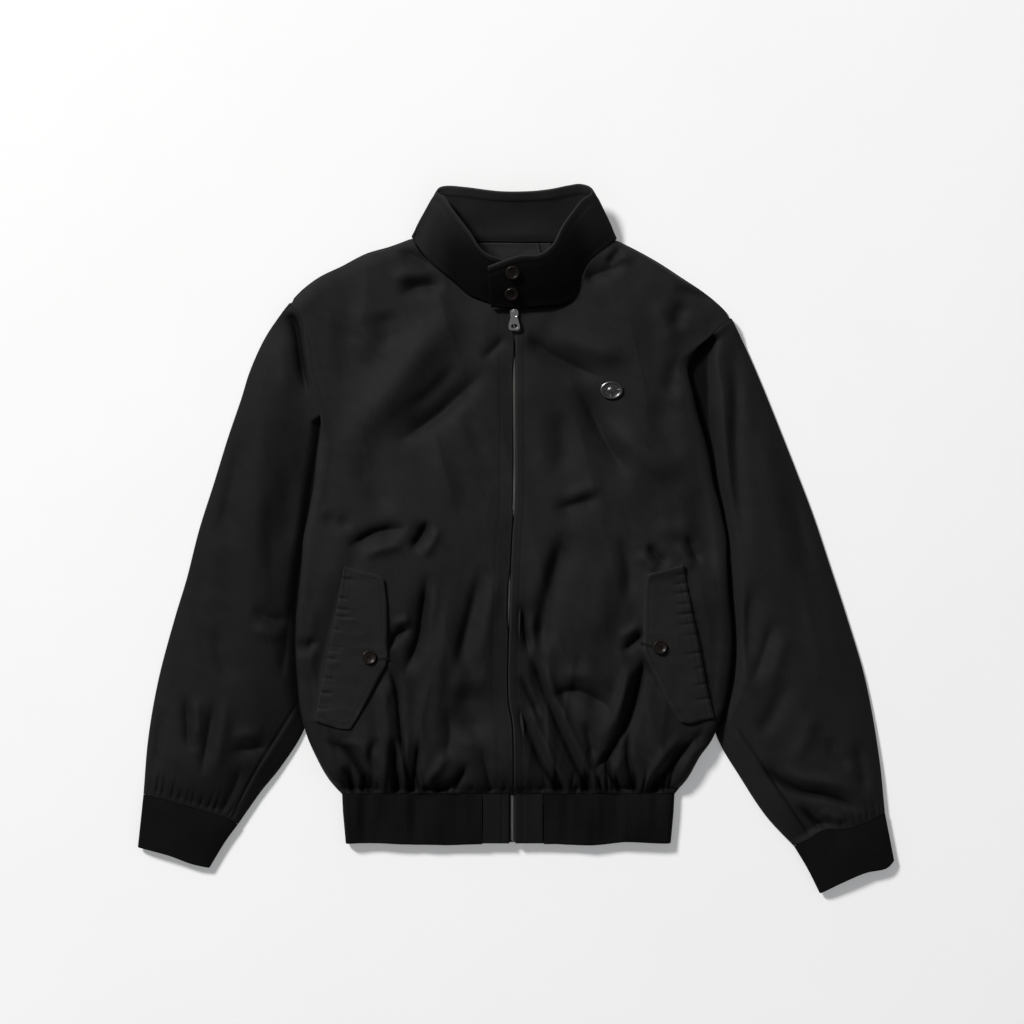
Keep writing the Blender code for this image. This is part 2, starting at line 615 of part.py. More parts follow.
REACH_ROUND = [(dx, dy) for dx in (-5, 0, 5) for dy in (-9, 0, 9)]


def collar(look_outer, look_inner):
    """Two layers on one set of sections, the inner one moved in towards the neck."""
    across = np.array([0, 0.3, 0.65, 1.0])
    base_xy = np.array([row["base"] for row in COLLAR], float) * MM
    rim_xy = np.array([row["rim"] for row in COLLAR], float) * MM
    lift = np.array([row["lift"] for row in COLLAR]) * MM
    base_z = np.maximum(front_height(base_xy[:, 0], base_xy[:, 1]) + lift, 1.9 * MM)
    base = np.column_stack([base_xy, base_z])
    rim = np.column_stack([rim_xy, np.array([row["rim_z"] for row in COLLAR]) * MM])
    points = base[:, None] + (rim - base)[:, None] * across[None, :, None]
    d_round = np.gradient(points, axis=0)
    d_up = np.gradient(points, axis=1)
    normal = np.cross(d_round, d_up)
    normal /= np.linalg.norm(normal, axis=2, keepdims=True)
    facing = normal
    for _ in range(4):
        padded = np.concatenate([normal[:1], normal, normal[-1:]])
        normal = (padded[:-2] + 2 * padded[1:-1] + padded[2:]) / 4
    normal /= np.linalg.norm(normal, axis=2, keepdims=True)
    # The wall keeps its full thickness where the collar folds.
    normal = normal / np.clip((normal * facing).sum(axis=2, keepdims=True), 0.8, 1)
    if normal[1, 1, 2] < 0:
        normal = -normal
    outer_in = points - normal * COLLAR_CLOTH
    inner_out = points - normal * (COLLAR_CLOTH + LAYER_GAP)
    inner_in = points - normal * (2 * COLLAR_CLOTH + LAYER_GAP)
    wall("collar_inner", inner_out, inner_in, look_inner)
    return wall("collar_outer", points, outer_in, look_outer)


def flap(name, table, ground, look):
    """A flap lies on the front: its points are the front's highest nearby, moved out."""
    u = np.array([0, 0.25, 0.5, 0.75, 1.0])
    v = np.linspace(0, 1, 9)
    plan = coons(u, v, lambda t: along(table["top"], t), lambda t: along(table["bottom"], t),
                 lambda t: along(table["sewn"], t), lambda t: along(table["free"], t))
    low = np.zeros(plan.shape[:2])
    for row in range(plan.shape[0]):
        for col in range(plan.shape[1]):
            near = [drop_on(ground, plan[row, col, 0] + dx * MM, plan[row, col, 1] + dy * MM)[0]
                    for dx, dy in REACH_ROUND]
            low[row, col] = max(hit.z for hit in near if hit) + 0.9 * MM
    x, y = plan[..., 0], plan[..., 1]
    return wall(name, grid(x, y, low + FLAP_CLOTH), grid(x, y, low), look)


def neck_patch(look):
    """A plain patch on the back panel, just below the neck seam."""
    x = np.linspace(-45, 40, 6)[None] * MM
    y = np.array([325.5, 312, 299])[:, None] * MM
    low = CLOTH + SEAM
    return wall("neck_patch", grid(x, y, low + 0.6 * MM), grid(x, y, low), look)


# ---------------------------------------------------------------- hard pieces

def turned(name, profile, look, segments=20):
    """A closed piece turned about its own Z from a profile of (radius, height)."""
    bm = bmesh.new()
    rings = []
    for radius, height in profile:
        if radius == 0:
            rings.append([bm.verts.new((0, 0, height))])
        else:
            rings.append([bm.verts.new((radius * math.cos(2 * math.pi * k / segments),
                                        radius * math.sin(2 * math.pi * k / segments), height))
                          for k in range(segments)])
    for low, high in zip(rings, rings[1:]):
        for k in range(segments):
            after = (k + 1) % segments
            if len(low) == 1:
                bm.faces.new([low[0], high[after], high[k]])
            elif len(high) == 1:
                bm.faces.new([low[k], low[after], high[0]])
            else:
                bm.faces.new([low[k], low[after], high[after], high[k]])
    bmesh.ops.recalc_face_normals(bm, faces=bm.faces)
    mesh = bpy.data.meshes.new(name)
    bm.to_mesh(mesh)
    bm.free()
    mesh.shade_smooth()
    mesh.set_sharp_from_angle(angle=math.radians(40))
    return keep(name, mesh, look)


def seat(obj, ground, x, y, gap, reach):
    """Set a piece on the ground's upper skin, turned to it and clear of it all round."""
    hit, normal = drop_on(ground, x, y)
    for angle in np.radians(np.arange(0, 360, 60)):
        _, around = drop_on(ground, x + reach * math.cos(angle), y + reach * math.sin(angle))
        normal = normal + around * 0.7
    normal.normalize()
    lift = 0.0
    for angle in np.radians(np.arange(0, 360, 30)):
        spot, _ = drop_on(ground, x + reach * math.cos(angle), y + reach * math.sin(angle))
        lift = max(lift, (spot - hit).dot(normal))
    turn = Vector((0, 0, 1)).rotation_difference(normal)
    obj.matrix_world = Matrix.Translation(hit + normal * (lift + gap)) @ turn.to_matrix().to_4x4()


def button(name, spec, ground, look):
    r, h = BUTTON_RADIUS, BUTTON_HEIGHT
    profile = [(0, 0), (0.82 * r, 0), (0.97 * r, 0.28 * h), (r, 0.55 * h), (0.95 * r, 0.9 * h), (0.86 * r, h),
               (0.72 * r, 0.86 * h), (0.6 * r, 0.66 * h), (0, 0.62 * h)]
    made = turned(name, profile, look)
    seat(made, ground, spec["at"][0] * MM, spec["at"][1] * MM, 0.4 * MM, 0.8 * r)


def badge(ground, look):
    half_x, half_y = (value * MM for value in BADGE["half"])
    high = BADGE["height"] * MM
    profile = [(0, 0), (0.92, 0), (1.0, 0.35 * high), (0.97, 0.8 * high), (0.88, high), (0.76, 0.8 * high),
               (0.7, 0.45 * high), (0.3, 0.5 * high), (0.2, 0.85 * high), (0, high)]
    made = turned("badge", profile, look, segments=28)
    for vert in made.data.vertices:
        vert.co.x *= half_x
        vert.co.y *= half_y
    seat(made, ground, BADGE["at"][0] * MM, BADGE["at"][1] * MM, 0.4 * MM, 0.7 * half_y)


def box_mesh(name, low, high):
    bm = bmesh.new()
    bmesh.ops.create_cube(bm, size=1.0)
    for vert in bm.verts:
        for axis in range(3):
            vert.co[axis] = high[axis] if vert.co[axis] > 0 else low[axis]
    mesh = bpy.data.meshes.new(name)
    bm.to_mesh(mesh)
    bm.free()
    return mesh


def combine(target, mesh, operation):
    """Boolean of a guide mesh, which is left out of the build."""
    guide = bpy.data.objects.new(target.name + "_guide", mesh)
    bpy.context.collection.objects.link(guide)
    guide.hide_render = True
    guide.display_type = "WIRE"
    made = target.modifiers.new(operation.title(), "BOOLEAN")
    made.operation = operation
    made.object = guide
    made.solver = "EXACT"


def zip_slider(ground_z, look):
    """The slider: a base plate and, along it, a bridge with a window under it for the pull's bar."""
    x, y = SLIDER["x"] * MM, SLIDER["y"] * MM
    half_w, half_l = SLIDER["width"] * MM / 2, SLIDER["length"] * MM / 2
    top = ground_z + SLIDER["height"] * MM
    outline = [(-0.55, 1), (0.55, 1), (1, 0.55), (1, -0.2), (0.72, -1), (-0.72, -1), (-1, -0.2), (-1, 0.55)]
    points = [(x + a * half_w, y + b * half_l, z) for z in (ground_z, top) for a, b in outline]
    n = len(outline)
    faces = [list(range(n)), list(range(n, 2 * n))]
    faces += [[k, (k + 1) % n, n + (k + 1) % n, n + k] for k in range(n)]
    base = keep("zip_slider", closed_mesh("zip_slider", points, faces), look)
    hinge_y = PULL["hinge_y"] * MM
    hinge_z = ground_z + PULL["hinge_up"] * MM
    bar = PULL["bar"] * MM / 2
    side_profile = [(-4.2, top - 0.5 * MM), (-4.2, hinge_z), (-3.2, hinge_z + 1.7 * MM),
                    (-1.2, hinge_z + 2.3 * MM), (1.4, hinge_z + 1.7 * MM), (2.2, hinge_z),
                    (2.2, top - 0.5 * MM),
                    (1.2, top - 0.5 * MM), (1.2, hinge_z + 1.15 * MM), (-2.9, hinge_z + 1.15 * MM),
                    (-2.9, top - 0.5 * MM)]
    m = len(side_profile)
    points = [(x + s * 1.2 * MM, hinge_y + dy * MM, z) for s in (-1, 1) for dy, z in side_profile]
    faces = [list(range(m)), list(range(m, 2 * m))]
    faces += [[k, (k + 1) % m, m + (k + 1) % m, m + k] for k in range(m)]
    combine(base, closed_mesh("bridge", points, faces), "UNION")
    return hinge_y, hinge_z, bar


def zip_pull(hinge_y, hinge_z, bar, look):
    """The pull tab: a bar under the bridge, two cheeks beside it, and a plate that widens to a ring."""
    x = SLIDER["x"] * MM
    length = PULL["length"] * MM
    half = [(0.6, 2.7), (-4.6, 2.7), (-9.0, 4.4), (-12.5, 5.2), (-16.0, 6.3), (-19.2, 6.2), (-21.0, 4.6),
            (-21.4, 2.0)]
    outline = [(w, d) for d, w in half] + [(-w, d) for d, w in half[::-1]]
    thick = PULL["bar"] * MM / 2
    points = [(w * MM, d * MM * length / (21.4 * MM), z) for z in (-thick, thick) for w, d in outline]
    n = len(outline)
    faces = [list(range(n)), list(range(n, 2 * n))]
    faces += [[k, (k + 1) % n, n + (k + 1) % n, n + k] for k in range(n)]
    plate = keep("zip_pull", closed_mesh("zip_pull", points, faces), look)
    plate.location = (x, hinge_y, hinge_z)
    slot = box_mesh("slot", (x - 1.7 * MM, hinge_y - 6.0 * MM, hinge_z - 2 * MM),
                    (x + 1.7 * MM, hinge_y - bar, hinge_z + 2 * MM))
    combine(plate, slot, "DIFFERENCE")
    bm = bmesh.new()
    bmesh.ops.create_cone(bm, cap_ends=True, segments=24, radius1=1.0, radius2=1.0, depth=4 * MM)
    for vert in bm.verts:
        vert.co.x = x + vert.co.x * 3.5 * MM
        vert.co.y = hinge_y - 16.6 * MM + vert.co.y * 2.4 * MM
        vert.co.z = hinge_z + vert.co.z
    hole = bpy.data.meshes.new("hole")
    bm.to_mesh(hole)
    bm.free()
    combine(plate, hole, "DIFFERENCE")


# ---------------------------------------------------------------- build

def main():
    for obj in list(bpy.data.objects):
        bpy.data.objects.remove(obj)
    cotton = material("black cotton", (0.012, 0.012, 0.014), 0.62)
    knit = material("black rib", (0.014, 0.014, 0.015), 0.85)
    lining = material("collar lining", (0.016, 0.016, 0.018), 0.7)
    tape = material("zip tape", (0.01, 0.01, 0.011), 0.8)
    patch = material("neck patch", (0.03, 0.03, 0.032), 0.6)
    horn = material("dark button", (0.02, 0.013, 0.01), 0.3)
    steel = material("polished metal", (0.75, 0.75, 0.76), 0.18, 1.0)

    back(cotton)
    front_right = front("front_right", -1, cotton)
    front_left = front("front_left", 1, cotton)
    sleeve("sleeve_right", -1, SLEEVE_RIGHT, cotton)
    sleeve("sleeve_left", 1, SLEEVE_LEFT, cotton)
    cuff("cuff_right", CUFF_RIGHT, knit)
    cuff("cuff_left", CUFF_LEFT, knit)
    hem_band(knit)
    for name in TABS:
        hem_tab(name, cotton)
    zip_tape("zip_tape_right", -1, tape)
    zip_tape("zip_tape_left", 1, tape)
    outer_collar = collar(cotton, lining)
    neck_patch(patch)
    grounds = {
        "collar_outer": outer_collar,
        "flap_right": flap("flap_right", FLAP_RIGHT, front_right, cotton),
        "flap_left": flap("flap_left", FLAP_LEFT, front_left, cotton),
    }
    for name, spec in BUTTONS.items():
        button(name, spec, grounds[spec["on"]], horn)
    badge(front_left, steel)
    spots = [drop_on(panel, SLIDER["x"] * MM + dx * MM, SLIDER["y"] * MM + dy * MM)[0]
             for panel, dx in ((front_right, -4.2), (front_left, 4.2)) for dy in (-5, 0, 5)]
    ground_z = max(spot.z for spot in spots if spot) + 0.4 * MM
    zip_pull(*zip_slider(ground_z, steel), steel)


main()
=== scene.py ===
import json
import math

import bpy
import numpy as np
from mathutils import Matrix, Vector
from mathutils.bvhtree import BVHTree


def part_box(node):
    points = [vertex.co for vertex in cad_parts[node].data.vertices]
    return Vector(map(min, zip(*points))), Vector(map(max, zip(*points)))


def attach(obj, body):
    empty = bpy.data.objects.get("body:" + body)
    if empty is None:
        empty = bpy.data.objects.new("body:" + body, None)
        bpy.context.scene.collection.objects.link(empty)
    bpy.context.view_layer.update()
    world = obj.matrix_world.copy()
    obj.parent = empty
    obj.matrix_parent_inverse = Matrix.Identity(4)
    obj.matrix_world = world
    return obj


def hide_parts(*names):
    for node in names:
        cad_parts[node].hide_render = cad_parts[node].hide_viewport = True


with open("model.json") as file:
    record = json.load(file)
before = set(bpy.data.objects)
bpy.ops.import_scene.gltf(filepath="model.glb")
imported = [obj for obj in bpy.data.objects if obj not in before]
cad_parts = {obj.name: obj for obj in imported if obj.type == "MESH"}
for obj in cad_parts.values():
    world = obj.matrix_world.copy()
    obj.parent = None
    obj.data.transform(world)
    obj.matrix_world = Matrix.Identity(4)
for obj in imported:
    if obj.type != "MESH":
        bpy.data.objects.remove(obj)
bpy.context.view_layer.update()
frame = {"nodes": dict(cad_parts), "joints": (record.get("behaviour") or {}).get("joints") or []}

mm = 0.001
rng = np.random.default_rng(7)
print("frame loaded:", len(frame["nodes"]), "nodes")

# ---- camera, light and floor: metres are worked out from the millimetres of each table

studio = {
    "centre": (-4.4, 29.7),        # middle of the view
    "height": 3600, "fieldWide": 1126, "sensor": 36,
    "keyAt": (-5600, 5900, 6300), "keySize": 2100, "keyPower": 1160, "keyColour": (1.0, 0.99, 0.97),
    "fillAt": (1800, -600, 2200), "fillSize": 2600, "fillPower": 2,
    "skyColour": (0.96, 0.97, 1.0), "skyStrength": 0.15,
    "floorWide": 9000, "floorColour": (0.83, 0.835, 0.84), "floorGlow": 0.27,
}


def areaLight(name, at, size, power, colour):
    lamp = bpy.data.lights.new(name, "AREA")
    lamp.shape, lamp.size, lamp.energy, lamp.color = "DISK", size * mm, power, colour
    made = bpy.data.objects.new(name, lamp)
    made.location = Vector(at) * mm
    made.rotation_euler = (-made.location).to_track_quat("-Z", "Y").to_euler()
    bpy.context.collection.objects.link(made)


def studioSetup(spec):
    lens = bpy.data.cameras.new("camera")
    lens.sensor_width = spec["sensor"]
    lens.lens = spec["sensor"] * spec["height"] / spec["fieldWide"]
    made = bpy.data.objects.new("camera", lens)
    made.location = (spec["centre"][0] * mm, spec["centre"][1] * mm, spec["height"] * mm)
    bpy.context.collection.objects.link(made)
    bpy.context.scene.camera = made
    areaLight("key", spec["keyAt"], spec["keySize"], spec["keyPower"], spec["keyColour"])
    areaLight("fill", spec["fillAt"], spec["fillSize"], spec["fillPower"], (1.0, 1.0, 1.0))
    sky = bpy.data.worlds.new("studio")
    sky.use_nodes = True
    ground = sky.node_tree.nodes["Background"]
    ground.inputs["Color"].default_value = (*spec["skyColour"], 1.0)
    ground.inputs["Strength"].default_value = spec["skyStrength"]
    bpy.context.scene.world = sky
    bpy.context.scene.view_settings.view_transform = "Standard"


studioSetup(studio)

# ---- curves and fields


def smoothStep(t):  # 3t^2 - 2t^3, held at 0 and 1
    t = np.clip(t, 0.0, 1.0)
    return t * t * (3.0 - 2.0 * t)


def lowerOf(a, b, blend):  # the lower of a and b, rounded over blend where they cross
    share = np.clip(0.5 + 0.5 * (b - a) / blend, 0.0, 1.0)
    return b + (a - b) * share - blend * share * (1.0 - share)


def curveThrough(places, perSpan=16, unit=mm):  # centripetal Catmull-Rom through places, as a dense line
    p = np.array(places, float) * unit
    ends = np.concatenate([[2 * p[0] - p[1]], p, [2 * p[-1] - p[-2]]])
    knot = np.concatenate([[0.0], np.cumsum(np.sqrt(np.linalg.norm(np.diff(ends, axis=0), axis=1)))])
    corners = [ends[k:len(ends) - 3 + k][:, None] for k in range(4)]
    times = [knot[k:len(knot) - 3 + k][:, None] for k in range(4)]
    t = times[1] + (times[2] - times[1]) * np.linspace(0, 1, perSpan, endpoint=False)[None]

    def between(a, b, first, last):  # straight mix of a and b at t between two knots
        return a + (b - a) * ((t - times[first]) / (times[last] - times[first]))[..., None]

    level = [between(corners[k], corners[k + 1], k, k + 1) for k in range(3)]
    level = [between(level[0], level[1], 0, 2), between(level[1], level[2], 1, 3)]
    return np.concatenate([between(level[0], level[1], 1, 2).reshape(-1, p.shape[1]), p[-1:]])


def cornerLine(places, rounding=4.0):  # straight runs with corners rounded: a running mean over rounding mm
    p = np.array(places, float) * mm
    run = np.concatenate([[0.0], np.cumsum(np.linalg.norm(np.diff(p, axis=0), axis=1))])
    at = np.arange(0.0, run[-1], 0.4 * mm)
    reach = rounding * mm * smoothStep(np.minimum(at, run[-1] - at) / (rounding * mm))
    shifts = np.linspace(-0.5, 0.5, 9)
    return np.stack([np.mean([np.interp(at + s * reach, run, p[:, k]) for s in shifts], axis=0)
                     for k in range(p.shape[1])] , axis=-1)


def lineLength(line):  # running length along a line's points
    return np.concatenate([[0.0], np.cumsum(np.linalg.norm(np.diff(line, axis=0), axis=1))])


def alongLine(line, t):  # places at shares t of the line's length
    run = lineLength(line)
    return np.stack([np.interp(t * run[-1], run, line[:, k]) for k in range(line.shape[1])], axis=-1)


def xAt(line, y):  # x of a line that runs down the jacket, at height y in plan
    order = np.argsort(line[:, 1], kind="stable")
    return np.interp(y, line[order, 1], line[order, 0])


def tableCurve(rows, value, unit=mm):  # smooth curve through (place, amount) rows, read at value
    line = curveThrough(sorted(rows), 12, unit)
    return np.interp(value, line[:, 0], line[:, 1])


def coonsPatch(u, v, top, bottom, start, end):  # the four edges mixed across, less the four corners mixed
    u3, v3 = np.meshgrid(u, v)[0][..., None], np.meshgrid(u, v)[1][..., None]
    t, b, s, e = top(u), bottom(u), start(v), end(v)
    edges = (1 - v3) * t[None] + v3 * b[None] + (1 - u3) * s[:, None] + u3 * e[:, None]
    return edges - ((1 - u3) * (1 - v3) * t[0] + u3 * (1 - v3) * t[-1] + (1 - u3) * v3 * b[0] + u3 * v3 * b[-1])


def nearLine(x, y, line):  # distance to a line in plan, the side of it (-1 or 1) and the share of its length
    run = lineLength(line)
    best, side, share = np.full(x.shape, np.inf), np.zeros(x.shape), np.zeros(x.shape)
    for k in range(len(line) - 1):
        (ax, ay), (dx, dy) = line[k, :2], line[k + 1, :2] - line[k, :2]
        square = max(dx * dx + dy * dy, 1e-14)
        t = np.clip(((x - ax) * dx + (y - ay) * dy) / square, 0.0, 1.0)
        far = np.hypot(x - ax - t * dx, y - ay - t * dy)
        closer = far < best
        best = np.where(closer, far, best)
        side = np.where(closer, np.sign(dx * (y - ay) - dy * (x - ax)), side)
        share = np.where(closer, (run[k] + t * (run[k + 1] - run[k])) / run[-1], share)
    return best, side, share


def insideOutline(x, y, outline):  # distance inside a closed outline (negative outside): crossings give the sign
    closed = np.concatenate([outline, outline[:1]])
    crossings = np.zeros(x.shape, int)
    for (ax, ay), (bx, by) in zip(closed, closed[1:]):
        spans = (ay > y) != (by > y)
        crossings += spans & (x < ax + (y - ay) * (bx - ax) / (by - ay if by != ay else 1e-12))
    return np.where(crossings % 2 == 1, 1.0, -1.0) * nearLine(x, y, closed)[0]


def softNoise(x, y, seed):  # smooth noise from -1 to 1: seeded numbers on a unit lattice, eased between
    lattice = np.random.default_rng(seed).uniform(-1, 1, (64, 64))
    i, j = np.floor(x).astype(int), np.floor(y).astype(int)
    a, b = smoothStep(x - i), smoothStep(y - j)

    def corner(di, dj):
        return lattice[(i + di) % 64, (j + dj) % 64]

    return ((corner(0, 0) * (1 - a) + corner(1, 0) * a) * (1 - b)
            + (corner(0, 1) * (1 - a) + corner(1, 1) * a) * b)


def fold(high, wide, *places, sharp=2.0, lean=0.0, fade=(0.35, 0.35)):
    # one crease: its height (a trough is below 0) and half width, its line, and how its ends fade
    return {"high": high * mm, "wide": wide * mm, "line": curveThrough(places, 6), "sharp": sharp,
            "lean": lean, "fade": fade}


def foldField(x, y, rows, gain=1.0):  # sum of high * exp(-(distance / wide)^sharp), each faded at its ends
    total = np.zeros(x.shape)
    for row in rows:
        line, reach = row["line"], row["wide"] * 3.4
        low, high = line.min(0) - reach, line.max(0) + reach
        near = (x > low[0]) & (x < high[0]) & (y > low[1]) & (y < high[1])
        if not near.any():
            continue
        far, side, share = nearLine(x[near], y[near], line)
        wide = row["wide"] * (1 + row["lean"] * side)
        shape = np.exp(-(far / wide) ** row["sharp"]) * smoothStep((reach - far) / (0.45 * reach))
        for end, part in zip(row["fade"], (share, 1 - share)):
            if end > 0:
                shape = shape * smoothStep(part / end)
        total[near] += row["high"] * shape * (gain if row["high"] < 0 else 1.0)
    return total


# ---- meshes from grids


def gridNormals(points, wraps=False):  # cross product of the two directions of the grid
    if wraps:
        across = np.roll(points, -1, axis=1) - np.roll(points, 1, axis=1)
    else:
        across = np.gradient(points, axis=1)
    normal = np.cross(np.gradient(points, axis=0), across)
    return normal / np.maximum(np.linalg.norm(normal, axis=-1, keepdims=True), 1e-12)


def putMesh(name, points, faces, look, uv=None, wear=None, smooth=True):
    # a mesh from a list of points and faces of equal size, with its own map in metres; wear is above 0 on
    # rubbed edges (real wear) and below 0 where shade is painted into the colour, deep in creases and other shaded
    # places
    mesh = bpy.data.meshes.new(name)
    sides = faces.shape[1]
    points = np.maximum(points, (-1, -1, 0))           # nothing goes below the table
    mesh.vertices.add(len(points))
    mesh.vertices.foreach_set("co", points.astype(np.float32).ravel())
    mesh.loops.add(faces.size)
    mesh.loops.foreach_set("vertex_index", faces.astype(np.int32).ravel())
    mesh.polygons.add(len(faces))
    mesh.polygons.foreach_set("loop_start", np.arange(0, faces.size, sides, dtype=np.int32))
    mesh.polygons.foreach_set("use_smooth", np.full(len(faces), smooth))
    mesh.update(calc_edges=True)
    if uv is not None:
        layer = mesh.uv_layers.new(name="clothMap")
        layer.data.foreach_set("uv", uv[faces.ravel()].astype(np.float32).ravel())
    if wear is not None:
        wearAndShadeLayer = mesh.attributes.new("wear", "FLOAT", "POINT")
        wearAndShadeLayer.data.foreach_set("value", wear.astype(np.float32).ravel())
    made = bpy.data.objects.new(name, mesh)
    mesh.materials.append(look)
    bpy.context.collection.objects.link(made)
    return made


def putGrid(name, points, look, uv=None, wear=None, wraps=False, turn=False):
    # a grid of points as one smooth sheet. wraps joins its last column to its first, turn swaps its faces
    rows, cols = points.shape[:2]
    index = np.arange(rows * cols).reshape(rows, cols)
    if wraps:
        index = np.concatenate([index, index[:, :1]], axis=1)
    faces = np.stack([index[:-1, :-1], index[1:, :-1], index[1:, 1:], index[:-1, 1:]], axis=-1).reshape(-1, 4)
    if turn:
        faces = faces[:, ::-1]
    flatUv = None if uv is None else np.broadcast_to(uv, (rows, cols, 2)).reshape(-1, 2)
    flatWearAndShade = None if wear is None else np.broadcast_to(wear, (rows, cols)).reshape(-1)
    return putMesh(name, points.reshape(-1, 3), faces, look, flatUv, flatWearAndShade)


def stack(x, y, z):
    return np.stack(np.broadcast_arrays(x, y, z), axis=-1)


def nodeName(name):  # the solid's name for a piece's: sleeveLeft stands for sleeve_left
    return "".join("_" + letter.lower() if letter.isupper() else letter for letter in name)


def finishPiece(made, nodes=(), body="jacket"):
    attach(made, body)
    if nodes:
        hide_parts(*nodes)
    return made


def declareSheet(wide, long, share=1.0):
    # the flat cut in mm, and the part of its rectangle that the cloth fills: worked out here, then neither kept nor
    # used
    wide * mm
    share * wide * long * mm * mm


# ---- finishes


class Signal:
    # a shader socket that takes part in sums: a + b, 1 - a, a * b and so on add Math nodes
    def __init__(self, look, socket):
        self.look, self.socket = look, socket

    def maths(self, operation, *parts):
        made = self.look.node("ShaderNodeMath", {"operation": operation}, dict(enumerate(parts)))
        return Signal(self.look, made.outputs[0])

    def __add__(self, other):
        return self.maths("ADD", self, other)

    def __sub__(self, other):
        return self.maths("SUBTRACT", self, other)

    def __rsub__(self, other):
        return self.maths("SUBTRACT", other, self)

    def __mul__(self, other):
        return self.maths("MULTIPLY", self, other)

    def __truediv__(self, other):
        return self.maths("DIVIDE", self, other)

    def __pow__(self, other):
        return self.maths("POWER", self, other)

    __radd__, __rmul__ = __add__, __mul__

    def wave(self):  # sine
        return self.maths("SINE", self)

    def size(self):  # distance from 0
        return self.maths("ABSOLUTE", self)

    def held(self):  # kept from 0 to 1
        return self.maths("MAXIMUM", self.maths("MINIMUM", self, 1.0), 0.0)


class Look:
    # one material: its nodes are added by one method that takes a type, its settings and its sockets
    def __init__(self, name):
        self.material = bpy.data.materials.new(name)
        self.material.use_nodes = True
        self.tree = self.material.node_tree
        self.shader = self.tree.nodes["Principled BSDF"]

    def node(self, kind, settings=None, sockets=None):
        made = self.tree.nodes.new(kind)
        for key, value in (settings or {}).items():
            setattr(made, key, value)
        self.feed(made, sockets or {})
        return made

    def feed(self, made, sockets):
        for key, value in sockets.items():
            if isinstance(value, Signal):
                self.tree.links.new(value.socket, made.inputs[key])
            else:
                made.inputs[key].default_value = value

    def ramp(self, signal, stops):
        made = self.node("ShaderNodeValToRGB", None, {"Fac": signal})
        bar = made.color_ramp
        while len(bar.elements) < len(stops):
            bar.elements.new(0.5)
        for element, (at, colour) in zip(bar.elements, stops):
            element.position, element.color = at, (*colour, 1.0)
        return Signal(self, made.outputs["Color"])

    def mapXY(self):  # the piece's own map, in metres
        split = self.node("ShaderNodeSeparateXYZ", None,
                          {0: Signal(self, self.node("ShaderNodeUVMap", {"uv_map": "clothMap"}).outputs["UV"])})
        return Signal(self, split.outputs["X"]), Signal(self, split.outputs["Y"])

    def objectPlace(self):
        return Signal(self, self.node("ShaderNodeTexCoord").outputs["Object"])

    def stretched(self, place, scale):  # place times scale, axis by axis
        made = self.node("ShaderNodeVectorMath", {"operation": "MULTIPLY"}, {0: place, 1: scale})
        return Signal(self, made.outputs["Vector"])

    def noise(self, place, scale, detail=2.0, roughness=0.5):
        made = self.node("ShaderNodeTexNoise", None,
                         {"Vector": place, "Scale": scale, "Detail": detail, "Roughness": roughness})
        return Signal(self, made.outputs["Fac"])

    def wear(self):  # rubbed edges, 0 to 1, and painted shade in creases and shaded places, 0 to 1
        amount = Signal(self, self.node("ShaderNodeAttribute", {"attribute_name": "wear"}).outputs["Fac"])
        return amount.held(), (amount * -1.0).held()

    def mixColour(self, share, first, second):
        made = self.node("ShaderNodeMix", {"data_type": "RGBA"}, {0: share, 6: first, 7: second})
        return Signal(self, made.outputs[2])

    def bump(self, height, strength, distance):
        made = self.node("ShaderNodeBump", None, {"Height": height, "Strength": strength, "Distance": distance})
        return Signal(self, made.outputs["Normal"])

    def finish(self, **sockets):
        self.feed(self.shader, {key: value for key, value in sockets.items()})
        return self.material


def rgba(grey, tint=(1.0, 1.0, 1.0)):
    return (grey * tint[0], grey * tint[1], grey * tint[2], 1.0)


def clothLook(name, spec):
    # woven cloth: twill lines and cross threads as bump, slubs and faint clouds as tone, paler on worn edges, and
    # darkened by painted shade in creases and shaded places
    look = Look(name)
    u, v = look.mapXY()
    place = look.objectPlace()
    turns = 2 * math.pi / (spec["twill"] * mm)
    twill = ((u * spec["lean"][0] + v * spec["lean"][1]) * turns).wave()
    weft = (v * (turns * 1.9)).wave() * (u * (turns * 1.7)).wave()
    slub = look.noise(look.stretched(place, (420.0, 90.0, 420.0)), 1.0, 3.0, 0.62)
    grain = look.noise(place, 950.0, 3.0, 0.7)
    cloud = look.noise(place, 14.0, 3.0, 0.55)
    rubbed, deep = look.wear()
    tone = (slub * 0.45 + cloud * 0.35 + grain * 0.7 - 0.27 + rubbed * spec["wear"]).held()
    colour = look.mixColour(tone, rgba(spec["dark"], spec["tint"]), rgba(spec["pale"], spec["tint"]))
    # painted shade: creases and shaded places take the near-black deep colour
    colour = look.mixColour(deep, colour, rgba(spec["deep"]))
    rough = (spec["rough"] + (slub - 0.5) * 0.16 - rubbed * 0.06).held()
    height = twill * 0.5 + weft * 0.25 + grain * 1.2 + slub * 0.8
    return look.finish(**{"Base Color": colour, "Roughness": rough, "Specular IOR Level": spec["specular"],
                          "Sheen Weight": spec["sheen"], "Sheen Roughness": spec["sheenRough"],
                          "Sheen Tint": rgba(spec["sheenTint"]),
                          "Normal": look.bump(height, spec["bump"], spec["depth"] * mm)})


